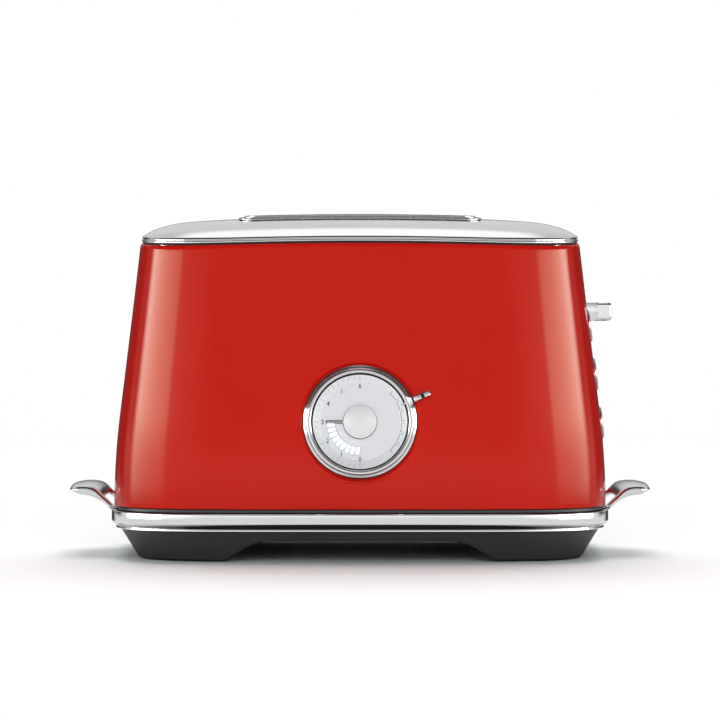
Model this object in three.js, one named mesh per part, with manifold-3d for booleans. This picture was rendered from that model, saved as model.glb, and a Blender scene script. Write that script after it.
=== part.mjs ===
// A two-slot electric toaster: a painted steel body, a polished lid and base band, and a dial on its front.
// Millimetres, +Z up, the floor at zero. The dial looks towards -Y, and the lever and buttons are on +X.
import * as THREE from "three";
import { mergeVertices } from "three/addons/utils/BufferGeometryUtils.js";
import Module from "manifold-3d";

const wasm = await Module();
wasm.setup();

// Clearances
const seatGap = 0.3; // between pieces that rest on each other or fit in each other
const cutOverrun = 3; // how far a cutting solid runs past what it cuts

// Counts of steps, and the power of the body's outline
const outlineSteps = 40;
const outlinePower = 5; // 2 would be an ellipse, and a high power a rectangle
const dialSteps = 28;
const buttonSteps = 16;
const smallSteps = 10;

// Base
const footProud = 1.5; // the skirt's lowest edge above the floor
const skirtHeight = 15.2;
const skirtWall = 3;
const skirtTopInset = 3.3; // insets are counted from the body's bottom outline
const skirtFootInset = 12.3;
const skirtFootRound = 1.6;
const skirtUpstandInset = 5;
const skirtUpstandHeight = 9.6;
const skirtFloor = 1.7;
const archToFoot = 42; // from a foot's middle to the flat top of the arch between the feet
const archSpread = 17; // from there to a foot's inner edge at the floor
const archHeight = 11.5;
const bandHeight = 9.7;
const bandProud = 1.4; // past the body's bottom outline
const bandFootInset = 2.8;
const bandEdge = 0.7;
const bandWall = 1.8;
const rimHeight = 1.8;
const rimInset = 1.7;
const rimWall = 6;
const bottomPlateThickness = 1;

// Body shell
const bodyWidth = 271.2; // at its bottom edge
const bodyDepth = 184;
const bodyHeight = 142; // from its bottom edge to the seam at its corners
const bodyWall = 1.8;
const bodyEdge = 0.6;
const wallDraftShare = 0.12; // how far the straight walls lean in, of their height
const wallFlare = 50; // the height over which the walls bend from upright to that lean
const wallBendShares = [0.35, 0.7, 1]; // heights of the rings on that bend, of wallFlare
const shoulderInset = 1.2;
const shoulderHeight = 4;
const seamFrontRise = 2.473; // how the seam arches over the front
const seamSideRise = 4.291; // and over the sides
const seamCornerShare = 0.87; // where the outline's corners are, of its half sizes

// Lid
const lidWall = 1.2;
const lidBead = 0.4;
const lidBeadHeight = 1.6;
const lidShoulder = 30; // how far in the steep part of the dome reaches
const lidShoulderRise = 8.6;
const lidCrownReach = 80;
const domePower = 2.5; // how full the dome's shoulder is
const domeRoot = 1.5; // how steeply it leaves the seam
const lidCrownRise = 2;
const lidSkirtDepth = 4;
const lidRingShares = [0.05, 0.18, 0.45, 1, 2.1]; // insets of the dome's rings, of lidShoulder

// Slots and their surrounds
const slotLength = 125.2;
const slotWidth = 32;
const slotPitch = 52;
const slotCorner = 5;
const slotSideShares = [0.5, 0, -0.5]; // extra points on a long side, of its straight half
const surroundWall = 1.3;
const surroundFlange = 4.3;
const surroundSheet = 0.7;
const surroundLip = 1.8; // above the lid
const surroundDepth = 6;
const surroundRound = 0.4;

// Handles
const handleReach = 28.3; // from the root plate's inner edge to the tip
const handleRise = 13;
const handleWidth = 70;
const handleWindow = 38; // between its two arms
const handleWindowEnd = 9.4; // from the root plate's inner edge to the window's outer end
const handleRootInset = 1.4; // the root plate's inner edge, from the body's bottom outline
const handleRootPlate = 1.8;
const handleBow = 2.5;
const handleCorner = 3.5;
// A handle's lower and upper lines, each point as shares of its reach and rise
const handleLowerShares = [[0.16, 0], [0.332, 0.277], [0.576, 0.49], [0.806, 0.56], [1, 0.76]];
const handleUpperShares = [[1, 0.76], [0.93, 0.92], [0.7, 1], [0.47, 0.908], [0.27, 0.62], [0.11, 0.22]];
const handleMiddleShares = [0, 0.45, 0.75]; // sections between its rounded ends, of their half distance
const handleEndShares = [0, 0.7, 0.875, 1]; // sections on a rounded end, of handleCorner

// Crumb tray
const trayWidth = 136;
const trayFrontInset = 22; // the pan's front, from the body's bottom outline
const traySheet = 0.8;
const trayHeight = 7.6;
const trayFrontWall = 4;
const trayLipProud = 2;
const trayLipHeight = 2.2;
const trayLipWidth = 60;

// Heating chamber
const chassisSpan = 156; // between the end plates' inner faces
const chassisSheet = 1.2;
const chassisDepth = 124;
const chassisTopDrop = 6; // below the seam at the corners
const chassisTab = 16;
const chassisTabReach = 13;
const rackSlotHeight = 8; // room over and under a rack's travel
const boardSheet = 0.8;
const boardPitch = 49; // from the centre board to each outer one
const boardTopDrop = 16;
const boardFoot = 34; // the boards' lowest edge above the floor
const ribbonSheet = 0.5;
const ribbonHeight = 1.6;
const ribbonRows = 7;
const ribbonInset = 8; // from the board's edges
const guardWire = 1.6;
const guardClosedGap = 8; // a guard's plane from its slot's centre, when it holds the slice
const guardTravel = 6; // how far it opens from there at rest
const guardWires = 7;
const guardFoot = 30;
const guardTopDrop = 8;
const guardInset = 6; // from its frame's ends to the first upright

// Lever and bread carriage
const leverBelowSeam = 35.7; // the lever's centre, below the seam at the corners
const leverLowest = 58.3; // its centre at the foot of its travel, above the body's bottom edge
const leverProud = 5.6; // its outer face, past the body's bottom outline
const leverHeadLength = 8.2;
const leverHeadWidth = 30;
const leverHeadHeight = 10.3;
const leverHeadRound = 2.4;
const leverNeckWidth = 6;
const leverNeckHeight = 8.6;
const leverNeckInside = 5; // how far it reaches in behind the wall
const leverSlotSide = 1;
const leverSlotEnd = 1.6;
const stemWidth = 5;
const stemHeight = 7;
const webX = 86; // the carriage plate's inner face
const webSheet = 1.5;
const webWidth = 40;
const webTopRise = 7.6; // over the lever's centre
const rackDrop = 35.4; // the racks' upper face, below the lever's centre
const rackSheet = 1.4;
const rackWidth = 9;
const rackEndBeyond = 4; // past the left end plate
const rackLipHeight = 5;
const webFootWidth = 66;
const webFootHeight = 12;
const webShelfReach = 13;
const webShelfWidth = 20;
const webShelfThickness = 2;
const armatureThickness = 2.7;
const armatureWidth = 16;
const rodRadius = 2;
const rodX = 94;
const rodSpacing = 30;
const bossWall = 2.6;
const bossHeight = 14;
const bracketThickness = 1.2;
const bracketWidth = 44;
const magnetRadius = 8;
const magnetCoilHeight = 20;
const magnetCore = 7;
const magnetCap = 1.4;
const magnetFootWidth = 18;
const springRadius = 3.2;
const springWire = 0.8;
const springTurns = 6;
const springSteps = 8; // in each turn
const springSides = 5;

// Dial, in its own frame: the body's surface at its centre, outwards along its axis
const dialHeight = 75.6; // above the floor
const dialPocketRadius = 31.6;
const dialPocketDepth = 1.1;
const bezelRadius = 30.4;
const bezelLip = 1.5;
const bezelProud = 3.2;
const bezelWeb = 1.5;
const bezelTubeDepth = 8;
const selectorWidth = 2.5;
const selectorProud = 4.2;
const selectorTipRadius = 40.4;
const selectorArmWidth = 2.6;
const selectorNeckWidth = 6;
const selectorArmThickness = 1.9;
const selectorGrooveRadius = 36.8;
const selectorGroove = 1;
const selectorGrooveDepth = 0.5;
const selectorPointerReach = 3.2;
const selectorPointerWidth = 2.4;
const selectorAngle = Math.PI / 8;
const chapterInnerRadius = 20.8;
const chapterRise = 1.5;
const chapterSheet = 1;
const discTop = 0.9;
const discSheet = 1.1;
const housingWall = 2.2;
const housingDepth = 14;
const housingFloor = 1.5;
const housingFlangeRadius = 33;
const housingFlange = 1.4;
const knobRadius = 8.9;
const knobProud = 5.6;
const knobEdge = 2.6;
const knobPower = 0.7; // below 1 the dome keeps its width longer
const shaftRadius = 3;
const shaftDepth = 9;
const needleLength = 9.6;
const needleWidth = 1.7;
const needleSheet = 0.6;
const encoderSize = 11;
const encoderHeight = 6;
const encoderCollar = 2;
const guideInnerRadius = 13.2;
const guideOuterRadius = 17.8;
const guideThickness = 1.6;
const circuitSheet = 1.6;
const controlWidth = 58;
const controlHeight = 46;

// Buttons, each in its own frame like the dial's
const buttonY = -36;
const buttonMidZ = 100.6;
const buttonPitch = 26.75;
const buttonCount = 3;
const buttonRadius = 6.4;
const buttonProud = 0.7;
const buttonDome = 0.7;
const buttonTravel = 1.5;
const buttonFlange = 0.9;
const buttonStemRadius = 2;
const buttonStemDepth = 9;
const dishRadius = 9.8;
const dishFloorRadius = 8.9;
const dishDepth = 1;
const ringWall = 0.9;
const ringFlangeRadius = 8.6;
const ringProud = 0.5;
const ringTubeDepth = 4;
const switchSize = 6;
const switchHeight = 3.4;
const buttonBoardWidth = 16;
const buttonBoardLength = 78;
const buttonBoardPost = 4;

// Power board, cord gland, feet and screws
const powerBoardX = -104;
const powerBoardLength = 84;
const powerBoardHeight = 60;
const transformerSize = 26;
const transformerDepth = 16;
const relaySize = 15;
const relayHeight = 12;
const glandX = -97;
const glandZ = 7.4;
const glandRadius = 4.6;
const glandBore = 3;
const glandInside = 12; // how far it reaches in from the skirt's face
const glandCollar = 1.4;
const cordWayReach = 46; // how far in from the body's rear the cord turns up
const footInsetX = 38.6; // a foot's middle, from the body's bottom outline
const footInsetY = 34;
const footRadius = 8;
const footRecess = 0.6;
const screwX = 86;
const screwY = 44;
const screwHeadRadius = 3;
const screwHeadHeight = 2;
const screwHeadDepth = 3.5; // the head's lower face above the skirt's lowest edge
const screwShankRadius = 1.5;
const screwEnd = 2; // past the chassis tab

// Heights worked out from the stack of pieces
const skirtTopZ = footProud + skirtHeight;
const bandBottomZ = skirtTopZ + seatGap;
const bandTopZ = bandBottomZ + bandHeight;
const rimBottomZ = bandTopZ + seatGap;
const rimTopZ = rimBottomZ + rimHeight;
const bodyBottomZ = rimTopZ + seatGap;
const seamCornerZ = bodyBottomZ + bodyHeight;
const skirtFloorTopZ = archHeight + skirtFloor;
const bottomPlateZ = skirtFloorTopZ + seatGap;
const bottomPlateTopZ = bottomPlateZ + bottomPlateThickness;
const standZ = bottomPlateTopZ + seatGap; // what stands on the bottom plate
const leverZ = seamCornerZ - leverBelowSeam;
const leverTravel = leverZ - bodyBottomZ - leverLowest;
const leverReach = bodyWidth / 2 + leverProud;
const rackTopZ = leverZ - rackDrop;
const topInset = wallDrop(seamCornerZ);
const footX = bodyWidth / 2 - footInsetX;
const footY = bodyDepth / 2 - footInsetY;
const archHalfWidth = footX - archToFoot;
const chassisTopZ = seamCornerZ - chassisTopDrop;
const endPlateX = chassisSpan / 2;

// Materials
const redPaint = material(0xc4231c, 0.28, 0);
const chrome = material(0xe2e3e5, 0.08, 1);
const brushedSilver = material(0xd5d7d9, 0.3, 0.9);
const darkPlastic = material(0x303133, 0.45, 0);
const rubber = material(0x1b1b1c, 0.8, 0);
const steel = material(0xa9acae, 0.35, 1);
const dialWhite = material(0xdfe2e4, 0.4, 0.1);
const clearPlastic = material(0xf4f7fa, 0.2, 0);
const mica = material(0xb9b09a, 0.7, 0);
const ribbonMetal = material(0x8a7f78, 0.5, 0.9);
const circuitGreen = material(0x1f6b42, 0.5, 0);
const copper = material(0xb26a3c, 0.4, 0.9);

function material(color, roughness, metalness) {
  return new THREE.MeshStandardMaterial({ color, roughness, metalness });
}

// A closed geometry as a solid: only its places are kept, and faces without area go.
function solidOf(geometry) {
  const bare = geometry.index ? geometry.clone() : mergeVertices(geometry);
  for (const name of Object.keys(bare.attributes)) {
    if (name !== "position") bare.deleteAttribute(name);
  }
  const merged = mergeVertices(bare);
  const faces = [];
  const index = merged.index.array;
  for (let i = 0; i < index.length; i += 3) {
    const [a, b, c] = index.slice(i, i + 3);
    if (a !== b && b !== c && c !== a) faces.push(a, b, c);
  }
  const vertProperties = merged.attributes.position.array;
  const build = (list) => new wasm.Manifold(
    new wasm.Mesh({ numProp: 3, vertProperties, triVerts: new Uint32Array(list) }),
  );
  const solid = build(faces);
  return solid.volume() < 0 ? build(faces.reverse()) : solid;
}

function geometryOf(solid) {
  const { vertProperties, triVerts, numProp } = solid.getMesh();
  const positions = new Float32Array((vertProperties.length / numProp) * 3);
  for (let i = 0; i * numProp < vertProperties.length; i++) {
    positions.set(vertProperties.subarray(i * numProp, i * numProp + 3), i * 3);
  }
  const geometry = new THREE.BufferGeometry();
  geometry.setAttribute("position", new THREE.BufferAttribute(positions, 3));
  geometry.setIndex(new THREE.BufferAttribute(triVerts, 1));
  return geometry;
}

const join = (...solids) => solids.reduce((sum, next) => sum.add(next));
const cut = (base, ...tools) => tools.reduce((left, tool) => left.subtract(tool), base);

// Solids: a box between two corners, a rod along +Z, a turned profile of [radius, height] points
function box(low, high) {
  const size = high.map((value, i) => value - low[i]);
  const middle = high.map((value, i) => (value + low[i]) / 2);
  return solidOf(new THREE.BoxGeometry(...size).translate(...middle));
}

function rod(radius, from, to, steps, x = 0, y = 0) {
  const geometry = new THREE.CylinderGeometry(radius, radius, to - from, steps);
  return solidOf(geometry.rotateX(Math.PI / 2).translate(x, y, (from + to) / 2));
}

function turned(profile, steps) {
  const points = profile.map(([radius, height]) => new THREE.Vector2(radius, height));
  return solidOf(new THREE.LatheGeometry(points, steps).rotateX(Math.PI / 2));
}

// A flat outline of [x, y] points raised from one height to another
function prism(outline, from, to) {
  const shape = new THREE.Shape(outline.map(([x, y]) => new THREE.Vector2(x, y)));
  const geometry = new THREE.ExtrudeGeometry(shape, { depth: to - from, bevelEnabled: false });
  return solidOf(geometry.translate(0, 0, from));
}

function placed(solid, matrix) {
  return solidOf(geometryOf(solid).applyMatrix4(matrix));
}

// A skin over rings of equally many points. A looped one joins its last ring to its first.
// Any other is capped at both ends.
function lofted(rings, looped) {
  const count = rings[0].length;
  const points = rings.flat();
  const faces = [];
  const last = looped ? rings.length : rings.length - 1;
  for (let r = 0; r < last; r++) {
    const here = r * count;
    const next = ((r + 1) % rings.length) * count;
    for (let i = 0; i < count; i++) {
      const j = (i + 1) % count;
      faces.push(here + i, here + j, next + j, here + i, next + j, next + i);
    }
  }
  if (!looped) {
    faces.push(...cap(rings[0], 0, true), ...cap(rings.at(-1), points.length - count, false));
  }
  const geometry = new THREE.BufferGeometry().setFromPoints(points);
  return solidOf(geometry.setIndex(faces));
}

// An end face over a ring, split into triangles in the plane that the ring lies closest to
function cap(ring, offset, turnedOver) {
  const size = new THREE.Box3().setFromPoints(ring).getSize(new THREE.Vector3());
  const flat = size.y <= Math.min(size.x, size.z) ? (p) => [p.z, p.x] : (p) => [p.x, p.y];
  const outline = ring.map((p) => new THREE.Vector2(...flat(p)));
  const reversed = THREE.ShapeUtils.area(outline) < 0;
  const turned = reversed ? [...outline].reverse() : outline;
  const triangles = THREE.ShapeUtils.triangulateShape(turned, []);
  const original = (i) => offset + (reversed ? ring.length - 1 - i : i);
  return triangles.flatMap(([a, b, c]) => {
    const kept = [original(a), original(b), original(c)];
    return turnedOver !== reversed ? kept.reverse() : kept;
  });
}

// How far the walls have leaned in at a height, and how steeply they lean there
function wallDrop(z) {
  const height = Math.max(z - bodyBottomZ, 0);
  const bent = Math.min(height, wallFlare);
  return wallDraftShare * (bent * bent / (2 * wallFlare) + height - bent);
}

function wallSlope(z) {
  const bent = Math.min(Math.max(z - bodyBottomZ, 0), wallFlare);
  return wallDraftShare * bent / wallFlare;
}

// The seam between body and lid, arched over all four sides, and the lid's dome above it at an inset
function seamZ(x, y) {
  const across = x / (seamCornerShare * (bodyWidth / 2 - topInset));
  const along = y / (seamCornerShare * (bodyDepth / 2 - topInset));
  return seamCornerZ + seamFrontRise * (1 - across ** 2) + seamSideRise * (1 - along ** 2);
}

function domeRise(inset) {
  const steep = 1 - Math.min(inset / lidShoulder, 1);
  const crown = 1 - Math.min(inset / lidCrownReach, 1);
  const shoulder = lidShoulderRise * (1 - steep ** domePower) ** (1 / domeRoot);
  return shoulder + lidCrownRise * (1 - crown ** 2);
}

// The inset whose outline runs through a place on the lid, found by halving
function insetAt(x, y) {
  let low = 0;
  let high = bodyDepth / 2 - topInset;
  for (let i = 0; i < 40; i++) {
    const inset = (low + high) / 2;
    const across = Math.abs(x) / (bodyWidth / 2 - topInset - inset);
    const along = Math.abs(y) / (bodyDepth / 2 - topInset - inset);
    const inside = across < 1 && across ** outlinePower + along ** outlinePower < 1;
    if (inside) low = inset;
    else high = inset;
  }
  return low;
}

const lidTopZ = (x, y) => seamZ(x, y) + domeRise(insetAt(x, y));

// The body's outline at an inset, as a ring of points with a height for each
function outlineRing(inset, heightAt) {
  const soften = (value) => Math.sign(value) * Math.abs(value) ** (2 / outlinePower);
  return Array.from({ length: outlineSteps }, (_, i) => {
    const turn = (2 * Math.PI * i) / outlineSteps;
    const x = (bodyWidth / 2 - inset) * soften(Math.cos(turn));
    const y = (bodyDepth / 2 - inset) * soften(Math.sin(turn));
    return new THREE.Vector3(x, y, heightAt(x, y));
  });
}

const flatRing = (inset, z) => outlineRing(inset, () => z);

// The frame of something that sits on the body's wall: its origin on the surface, its Z axis square to it
function wallFrame(x, y, z, alongFront) {
  const halfWidth = bodyWidth / 2 - wallDrop(z);
  const halfDepth = bodyDepth / 2 - wallDrop(z);
  const power = outlinePower;
  const rest = (share) => (1 - Math.abs(share) ** power) ** (1 / power);
  const px = alongFront ? x : halfWidth * rest(y / halfDepth);
  const py = alongFront ? -halfDepth * rest(x / halfWidth) : y;
  const shareX = px / halfWidth;
  const shareY = py / halfDepth;
  const normal = new THREE.Vector3(
    Math.sign(px) * Math.abs(shareX) ** (power - 1) / halfWidth,
    Math.sign(py) * Math.abs(shareY) ** (power - 1) / halfDepth,
    wallSlope(z) * (Math.abs(shareX) ** power / halfWidth + Math.abs(shareY) ** power / halfDepth),
  ).normalize();
  const side = new THREE.Vector3(0, 0, 1).cross(normal).normalize();
  const up = normal.clone().cross(side);
  return new THREE.Matrix4().makeBasis(side, up, normal).setPosition(px, py, z);
}

// How far behind a wall frame's origin the wall's inner face clears something at a height along the frame
function wallBehind(frame, height) {
  const bend = (wallDraftShare / (2 * wallFlare)) * height ** 2;
  return -bodyWall - bend - 2 * seatGap;
}

const dialFrame = wallFrame(0, 0, dialHeight, true);
const buttonFrames = Array.from({ length: buttonCount }, (_, i) =>
  wallFrame(0, buttonY, buttonMidZ + ((buttonCount - 1) / 2 - i) * buttonPitch, false));
const sideX = bodyWidth / 2 - wallDrop(leverZ);

const root = new THREE.Group();

function addMesh(name, solid, look, frame) {
  const mesh = new THREE.Mesh(geometryOf(solid), look);
  mesh.name = name;
  if (frame) frame.decompose(mesh.position, mesh.quaternion, mesh.scale);
  root.add(mesh);
}

// Mirror images of a place: every sign of x and y, or the ones on the left and the right
const corners = [[1, -1, "front_right"], [-1, -1, "front_left"], [1, 1, "rear_right"], [-1, 1, "rear_left"]];

// The rear opening that the crumb tray slides through
function trayOpening() {
  const half = trayWidth / 2 + seatGap;
  return box([-half, 0, bottomPlateTopZ], [half, bodyDepth / 2 + cutOverrun + bandProud, rimBottomZ]);
}

function addBaseSkirt() {
  const pocketZ = skirtFloorTopZ;
  const footZ = footProud;
  const round = skirtFootRound;
  const lean = (skirtFootInset - skirtTopInset) / skirtHeight;
  const solid = lofted([
    flatRing(skirtFootInset + round, footZ),
    flatRing(skirtFootInset - lean * round / 2, footZ + round / 2),
    flatRing(skirtTopInset, skirtTopZ),
    flatRing(skirtUpstandInset, skirtTopZ),
    flatRing(skirtUpstandInset, skirtTopZ + skirtUpstandHeight),
    flatRing(skirtUpstandInset + skirtWall, skirtTopZ + skirtUpstandHeight),
    flatRing(skirtUpstandInset + skirtWall, pocketZ),
  ], false);
  const spread = archHalfWidth + archSpread * (1 + cutOverrun / archHeight);
  const bend = new THREE.QuadraticBezierCurve(
    new THREE.Vector2(spread, -cutOverrun),
    new THREE.Vector2(archHalfWidth + archSpread / 3, archHeight),
    new THREE.Vector2(archHalfWidth - archSpread / 3, archHeight),
  );
  const half = bend.getPoints(6).map((p) => [p.x, p.y]);
  const arch = prism([...half, ...half.map(([x, z]) => [-x, z]).reverse()], -bodyDepth, bodyDepth);
  const tools = [placed(arch, new THREE.Matrix4().makeRotationX(Math.PI / 2)), trayOpening()];
  const headTop = footZ + screwHeadDepth + screwHeadHeight + seatGap;
  const above = pocketZ + cutOverrun;
  for (const [sx, sy] of corners) {
    const pad = [sx * footX, sy * footY];
    const screw = [sx * screwX, sy * screwY];
    tools.push(rod(footRadius + seatGap, -cutOverrun, footZ + footRecess, buttonSteps, ...pad));
    tools.push(rod(screwHeadRadius + seatGap, -cutOverrun, headTop, smallSteps, ...screw));
    tools.push(rod(screwShankRadius + seatGap, 0, above, smallSteps, ...screw));
  }
  tools.push(cordWay());
  addMesh("base_skirt", cut(solid, ...tools), darkPlastic);
}

// The cord's way in: through the gland, then up through the bottom plate
function cordWay() {
  const startY = bodyDepth / 2 - cordWayReach;
  const radius = glandRadius + seatGap;
  const hole = rod(radius, 0, bodyDepth, buttonSteps);
  const lying = new THREE.Matrix4().makeRotationX(-Math.PI / 2).setPosition(glandX, startY, glandZ);
  const rise = rod(radius, glandZ, standZ, buttonSteps, glandX, startY + radius);
  return join(placed(hole, lying), rise);
}

function addBottomPlate() {
  const inset = skirtUpstandInset + skirtWall + seatGap;
  const plate = lofted([flatRing(inset, bottomPlateZ), flatRing(inset, bottomPlateTopZ)], false);
  const holes = corners.map(([sx, sy]) =>
    rod(screwShankRadius + seatGap, bottomPlateZ - cutOverrun, bottomPlateTopZ + cutOverrun, smallSteps,
      sx * screwX, sy * screwY));
  addMesh("bottom_plate", cut(plate, cordWay(), ...holes), steel);
}

// The band's section: a quarter round that tucks in under its widest edge
function bandRings(inner) {
  const rings = [flatRing(inner, bandBottomZ)];
  const steps = 4;
  const reach = bandProud + bandFootInset;
  for (let i = 0; i <= steps; i++) {
    const turn = (Math.PI / 2) * (i / steps);
    const inset = bandFootInset - reach * Math.sin(turn);
    rings.push(flatRing(inset, bandTopZ - bandEdge - (bandHeight - bandEdge) * Math.cos(turn)));
  }
  rings.push(flatRing(bandEdge - bandProud, bandTopZ), flatRing(inner, bandTopZ));
  return rings;
}

const bandInnerInset = bandFootInset + bandWall;

function addBaseBand() {
  addMesh("base_band", cut(lofted(bandRings(bandInnerInset), true), trayOpening()), chrome);
}

function addBaseRim() {
  const inner = rimInset + rimWall;
  const rings = [
    flatRing(inner, rimBottomZ), flatRing(rimInset, rimBottomZ),
    flatRing(rimInset, rimTopZ), flatRing(inner, rimTopZ),
  ];
  addMesh("base_rim", lofted(rings, true), darkPlastic);
}

function addCrumbTray() {
  const half = trayWidth / 2 - seatGap;
  const back = bodyDepth / 2 - skirtUpstandInset;
  const floor = standZ + traySheet;
  const top = standZ + trayHeight;
  const panFront = trayFrontInset - bodyDepth / 2;
  const inside = box(
    [traySheet - half, panFront + traySheet, floor],
    [half - traySheet, back - traySheet, top + cutOverrun],
  );
  const pan = cut(box([-half, panFront, standZ], [half, back, top]), inside);
  addMesh("crumb_tray", pan, steel);
  const inner = bandInnerInset + trayFrontWall - bandWall;
  const whole = lofted(bandRings(inner), true);
  const front = back + seatGap;
  const window = box([-half, front, standZ], [half, bodyDepth, bandTopZ]);
  const lip = box(
    [-trayLipWidth / 2, bodyDepth / 2 - trayFrontWall, bandTopZ - bandEdge - trayLipHeight],
    [trayLipWidth / 2, bodyDepth / 2 + bandProud + trayLipProud, bandTopZ - bandEdge],
  );
  addMesh("crumb_tray_front", join(whole.intersect(window), lip), chrome);
}

function addBodyShell() {
  const z = bodyBottomZ;
  const seam = (x, y) => seamZ(x, y) - seatGap;
  const bends = wallBendShares.map((share) => z + wallFlare * share);
  const shoulderZ = seamCornerZ - shoulderHeight;
  const inside = (height) => flatRing(wallDrop(height) + bodyWall, height);
  const rings = [
    flatRing(bodyEdge, z),
    flatRing(0, z + bodyEdge),
    ...bends.map((height) => flatRing(wallDrop(height), height)),
    flatRing(wallDrop(shoulderZ), shoulderZ),
    outlineRing(topInset + shoulderInset, seam),
    outlineRing(topInset + shoulderInset + bodyWall, seam),
    inside(shoulderZ),
    ...bends.map(inside).reverse(),
    flatRing(bodyWall, z),
  ];
  const slotHalf = leverNeckWidth / 2 + leverSlotSide;
  const slotRise = leverNeckHeight / 2 + leverSlotEnd;
  const slot = box(
    [sideX - bodyWall - leverNeckInside, -slotHalf, leverZ - leverTravel - slotRise],
    [bodyWidth, slotHalf, leverZ + slotRise],
  );
  const dialHole = rod(bezelTubeRadius() + seatGap, -housingDepth, bezelProud, dialSteps);
  const dialPocket = rod(dialPocketRadius, -dialPocketDepth, bezelProud, dialSteps);
  const tools = [slot, placed(dialHole, dialFrame), placed(dialPocket, dialFrame)];
  for (const frame of buttonFrames) {
    const widen = (dishRadius - dishFloorRadius) / dishDepth;
    const dish = turned([
      [0, -dishDepth], [dishFloorRadius, -dishDepth],
      [dishRadius + widen * ringTubeDepth, ringTubeDepth], [0, ringTubeDepth],
    ], buttonSteps);
    const hole = rod(buttonRadius + ringWall + 2 * seatGap, -buttonStemDepth, ringTubeDepth, buttonSteps);
    tools.push(placed(dish, frame), placed(hole, frame));
  }
  addMesh("body_shell", cut(lofted(rings, true), ...tools), redPaint);
}

function lidRings() {
  const edge = topInset;
  const skirtOuter = edge + shoulderInset + bodyWall + seatGap;
  const under = (inset) => (x, y) => seamZ(x, y) + domeRise(inset) - lidWall;
  const over = (inset) => (x, y) => seamZ(x, y) + domeRise(inset);
  const at = (lift) => (x, y) => seamZ(x, y) + lift;
  const insets = lidRingShares.map((share) => share * lidShoulder);
  const below = insets.filter((inset) => edge + inset > skirtOuter + lidWall).reverse();
  return [
    ...below.map((inset) => outlineRing(edge + inset, under(inset))),
    outlineRing(skirtOuter + lidWall, at(-lidSkirtDepth)),
    outlineRing(skirtOuter, at(-lidSkirtDepth)),
    outlineRing(skirtOuter, at(0)),
    outlineRing(edge + shoulderInset, at(0)),
    outlineRing(edge + shoulderInset - lidBead, at(lidBeadHeight / 2)),
    ...insets.map((inset) => outlineRing(edge + inset, over(inset))),
  ];
}

// A ring of points round a slot, at a distance out from its opening
function slotRing(offset, centreY, heightAt) {
  const radius = slotCorner + offset;
  const straightX = slotLength / 2 - slotCorner;
  const straightY = slotWidth / 2 - slotCorner;
  const turns = 3;
  const points = [];
  const put = (x, y) => points.push(new THREE.Vector3(x, centreY + y, heightAt(x, centreY + y)));
  [[1, 1], [-1, 1], [-1, -1], [1, -1]].forEach(([sx, sy], quarter) => {
    for (let i = 0; i <= turns; i++) {
      const turn = (quarter + i / turns) * (Math.PI / 2);
      put(sx * straightX + radius * Math.cos(turn), sy * straightY + radius * Math.sin(turn));
    }
    if (sx === sy) slotSideShares.forEach((share) => put(sx * share * straightX, sy * (straightY + radius)));
  });
  return points;
}

function addLid() {
  const holes = [-1, 1].map((side) => {
    const offset = surroundWall + seatGap;
    const centreY = side * slotPitch / 2;
    const low = seamCornerZ - cutOverrun;
    const high = seamCornerZ + seamFrontRise + seamSideRise + domeRise(lidCrownReach) + cutOverrun;
    return lofted([slotRing(offset, centreY, () => low), slotRing(offset, centreY, () => high)], false);
  });
  addMesh("lid_cover", cut(lofted(lidRings(), false), ...holes), chrome);
}

function addSlotSurrounds() {
  for (const [side, place] of [[-1, "front"], [1, "rear"]]) {
    const centreY = side * slotPitch / 2;
    const ring = (offset, lift) => slotRing(offset, centreY, (x, y) => lidTopZ(x, y) + lift);
    const solid = lofted([
      ring(0, -surroundDepth),
      ring(surroundWall, -surroundDepth),
      ring(surroundWall, seatGap),
      ring(surroundFlange, seatGap),
      ring(surroundFlange, seatGap + surroundSheet),
      ring(surroundWall + surroundRound, seatGap + surroundSheet),
      ring(surroundWall, surroundLip),
      ring(surroundRound, surroundLip),
      ring(0, surroundLip - surroundRound),
    ], true);
    addMesh("slot_surround_" + place, solid, brushedSilver);
  }
}

// A handle's section at a distance along it: lower edge, tip, upper edge and root plate
function handleRing(y) {
  const half = handleWidth / 2;
  const pastCorner = Math.max(Math.abs(y) - (half - handleCorner), 0);
  const rounding = handleCorner - Math.sqrt(Math.max(handleCorner ** 2 - pastCorner ** 2, 0));
  const shrink = handleBow * (y / half) ** 2 + rounding;
  const rootX = bodyWidth / 2 - handleRootInset;
  const keep = 1 - shrink / (handleReach - handleWindowEnd);
  const place = ([reachShare, riseShare]) => {
    const reach = reachShare * handleReach;
    const past = Math.max(reach - handleWindowEnd, 0);
    const x = rootX + Math.min(reach, handleWindowEnd) + past * keep;
    return new THREE.Vector2(x, rimBottomZ + riseShare * handleRise);
  };
  const lower = new THREE.SplineCurve(handleLowerShares.map(place)).getPoints(8);
  const upper = new THREE.SplineCurve(handleUpperShares.map(place)).getPoints(10);
  const bandX = bodyWidth / 2 + bandProud + seatGap;
  const outline = [
    new THREE.Vector2(rootX, rimBottomZ), new THREE.Vector2(bandX, rimBottomZ),
    new THREE.Vector2(bandX, rimBottomZ - handleRootPlate), ...lower, ...upper.slice(1),
    new THREE.Vector2(rootX + handleRootPlate, rimBottomZ + handleRootPlate - seatGap / 2),
    new THREE.Vector2(rootX, rimBottomZ + handleRootPlate - seatGap / 2),
  ];
  return outline.map((p) => new THREE.Vector3(p.x, y, p.y));
}

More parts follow.
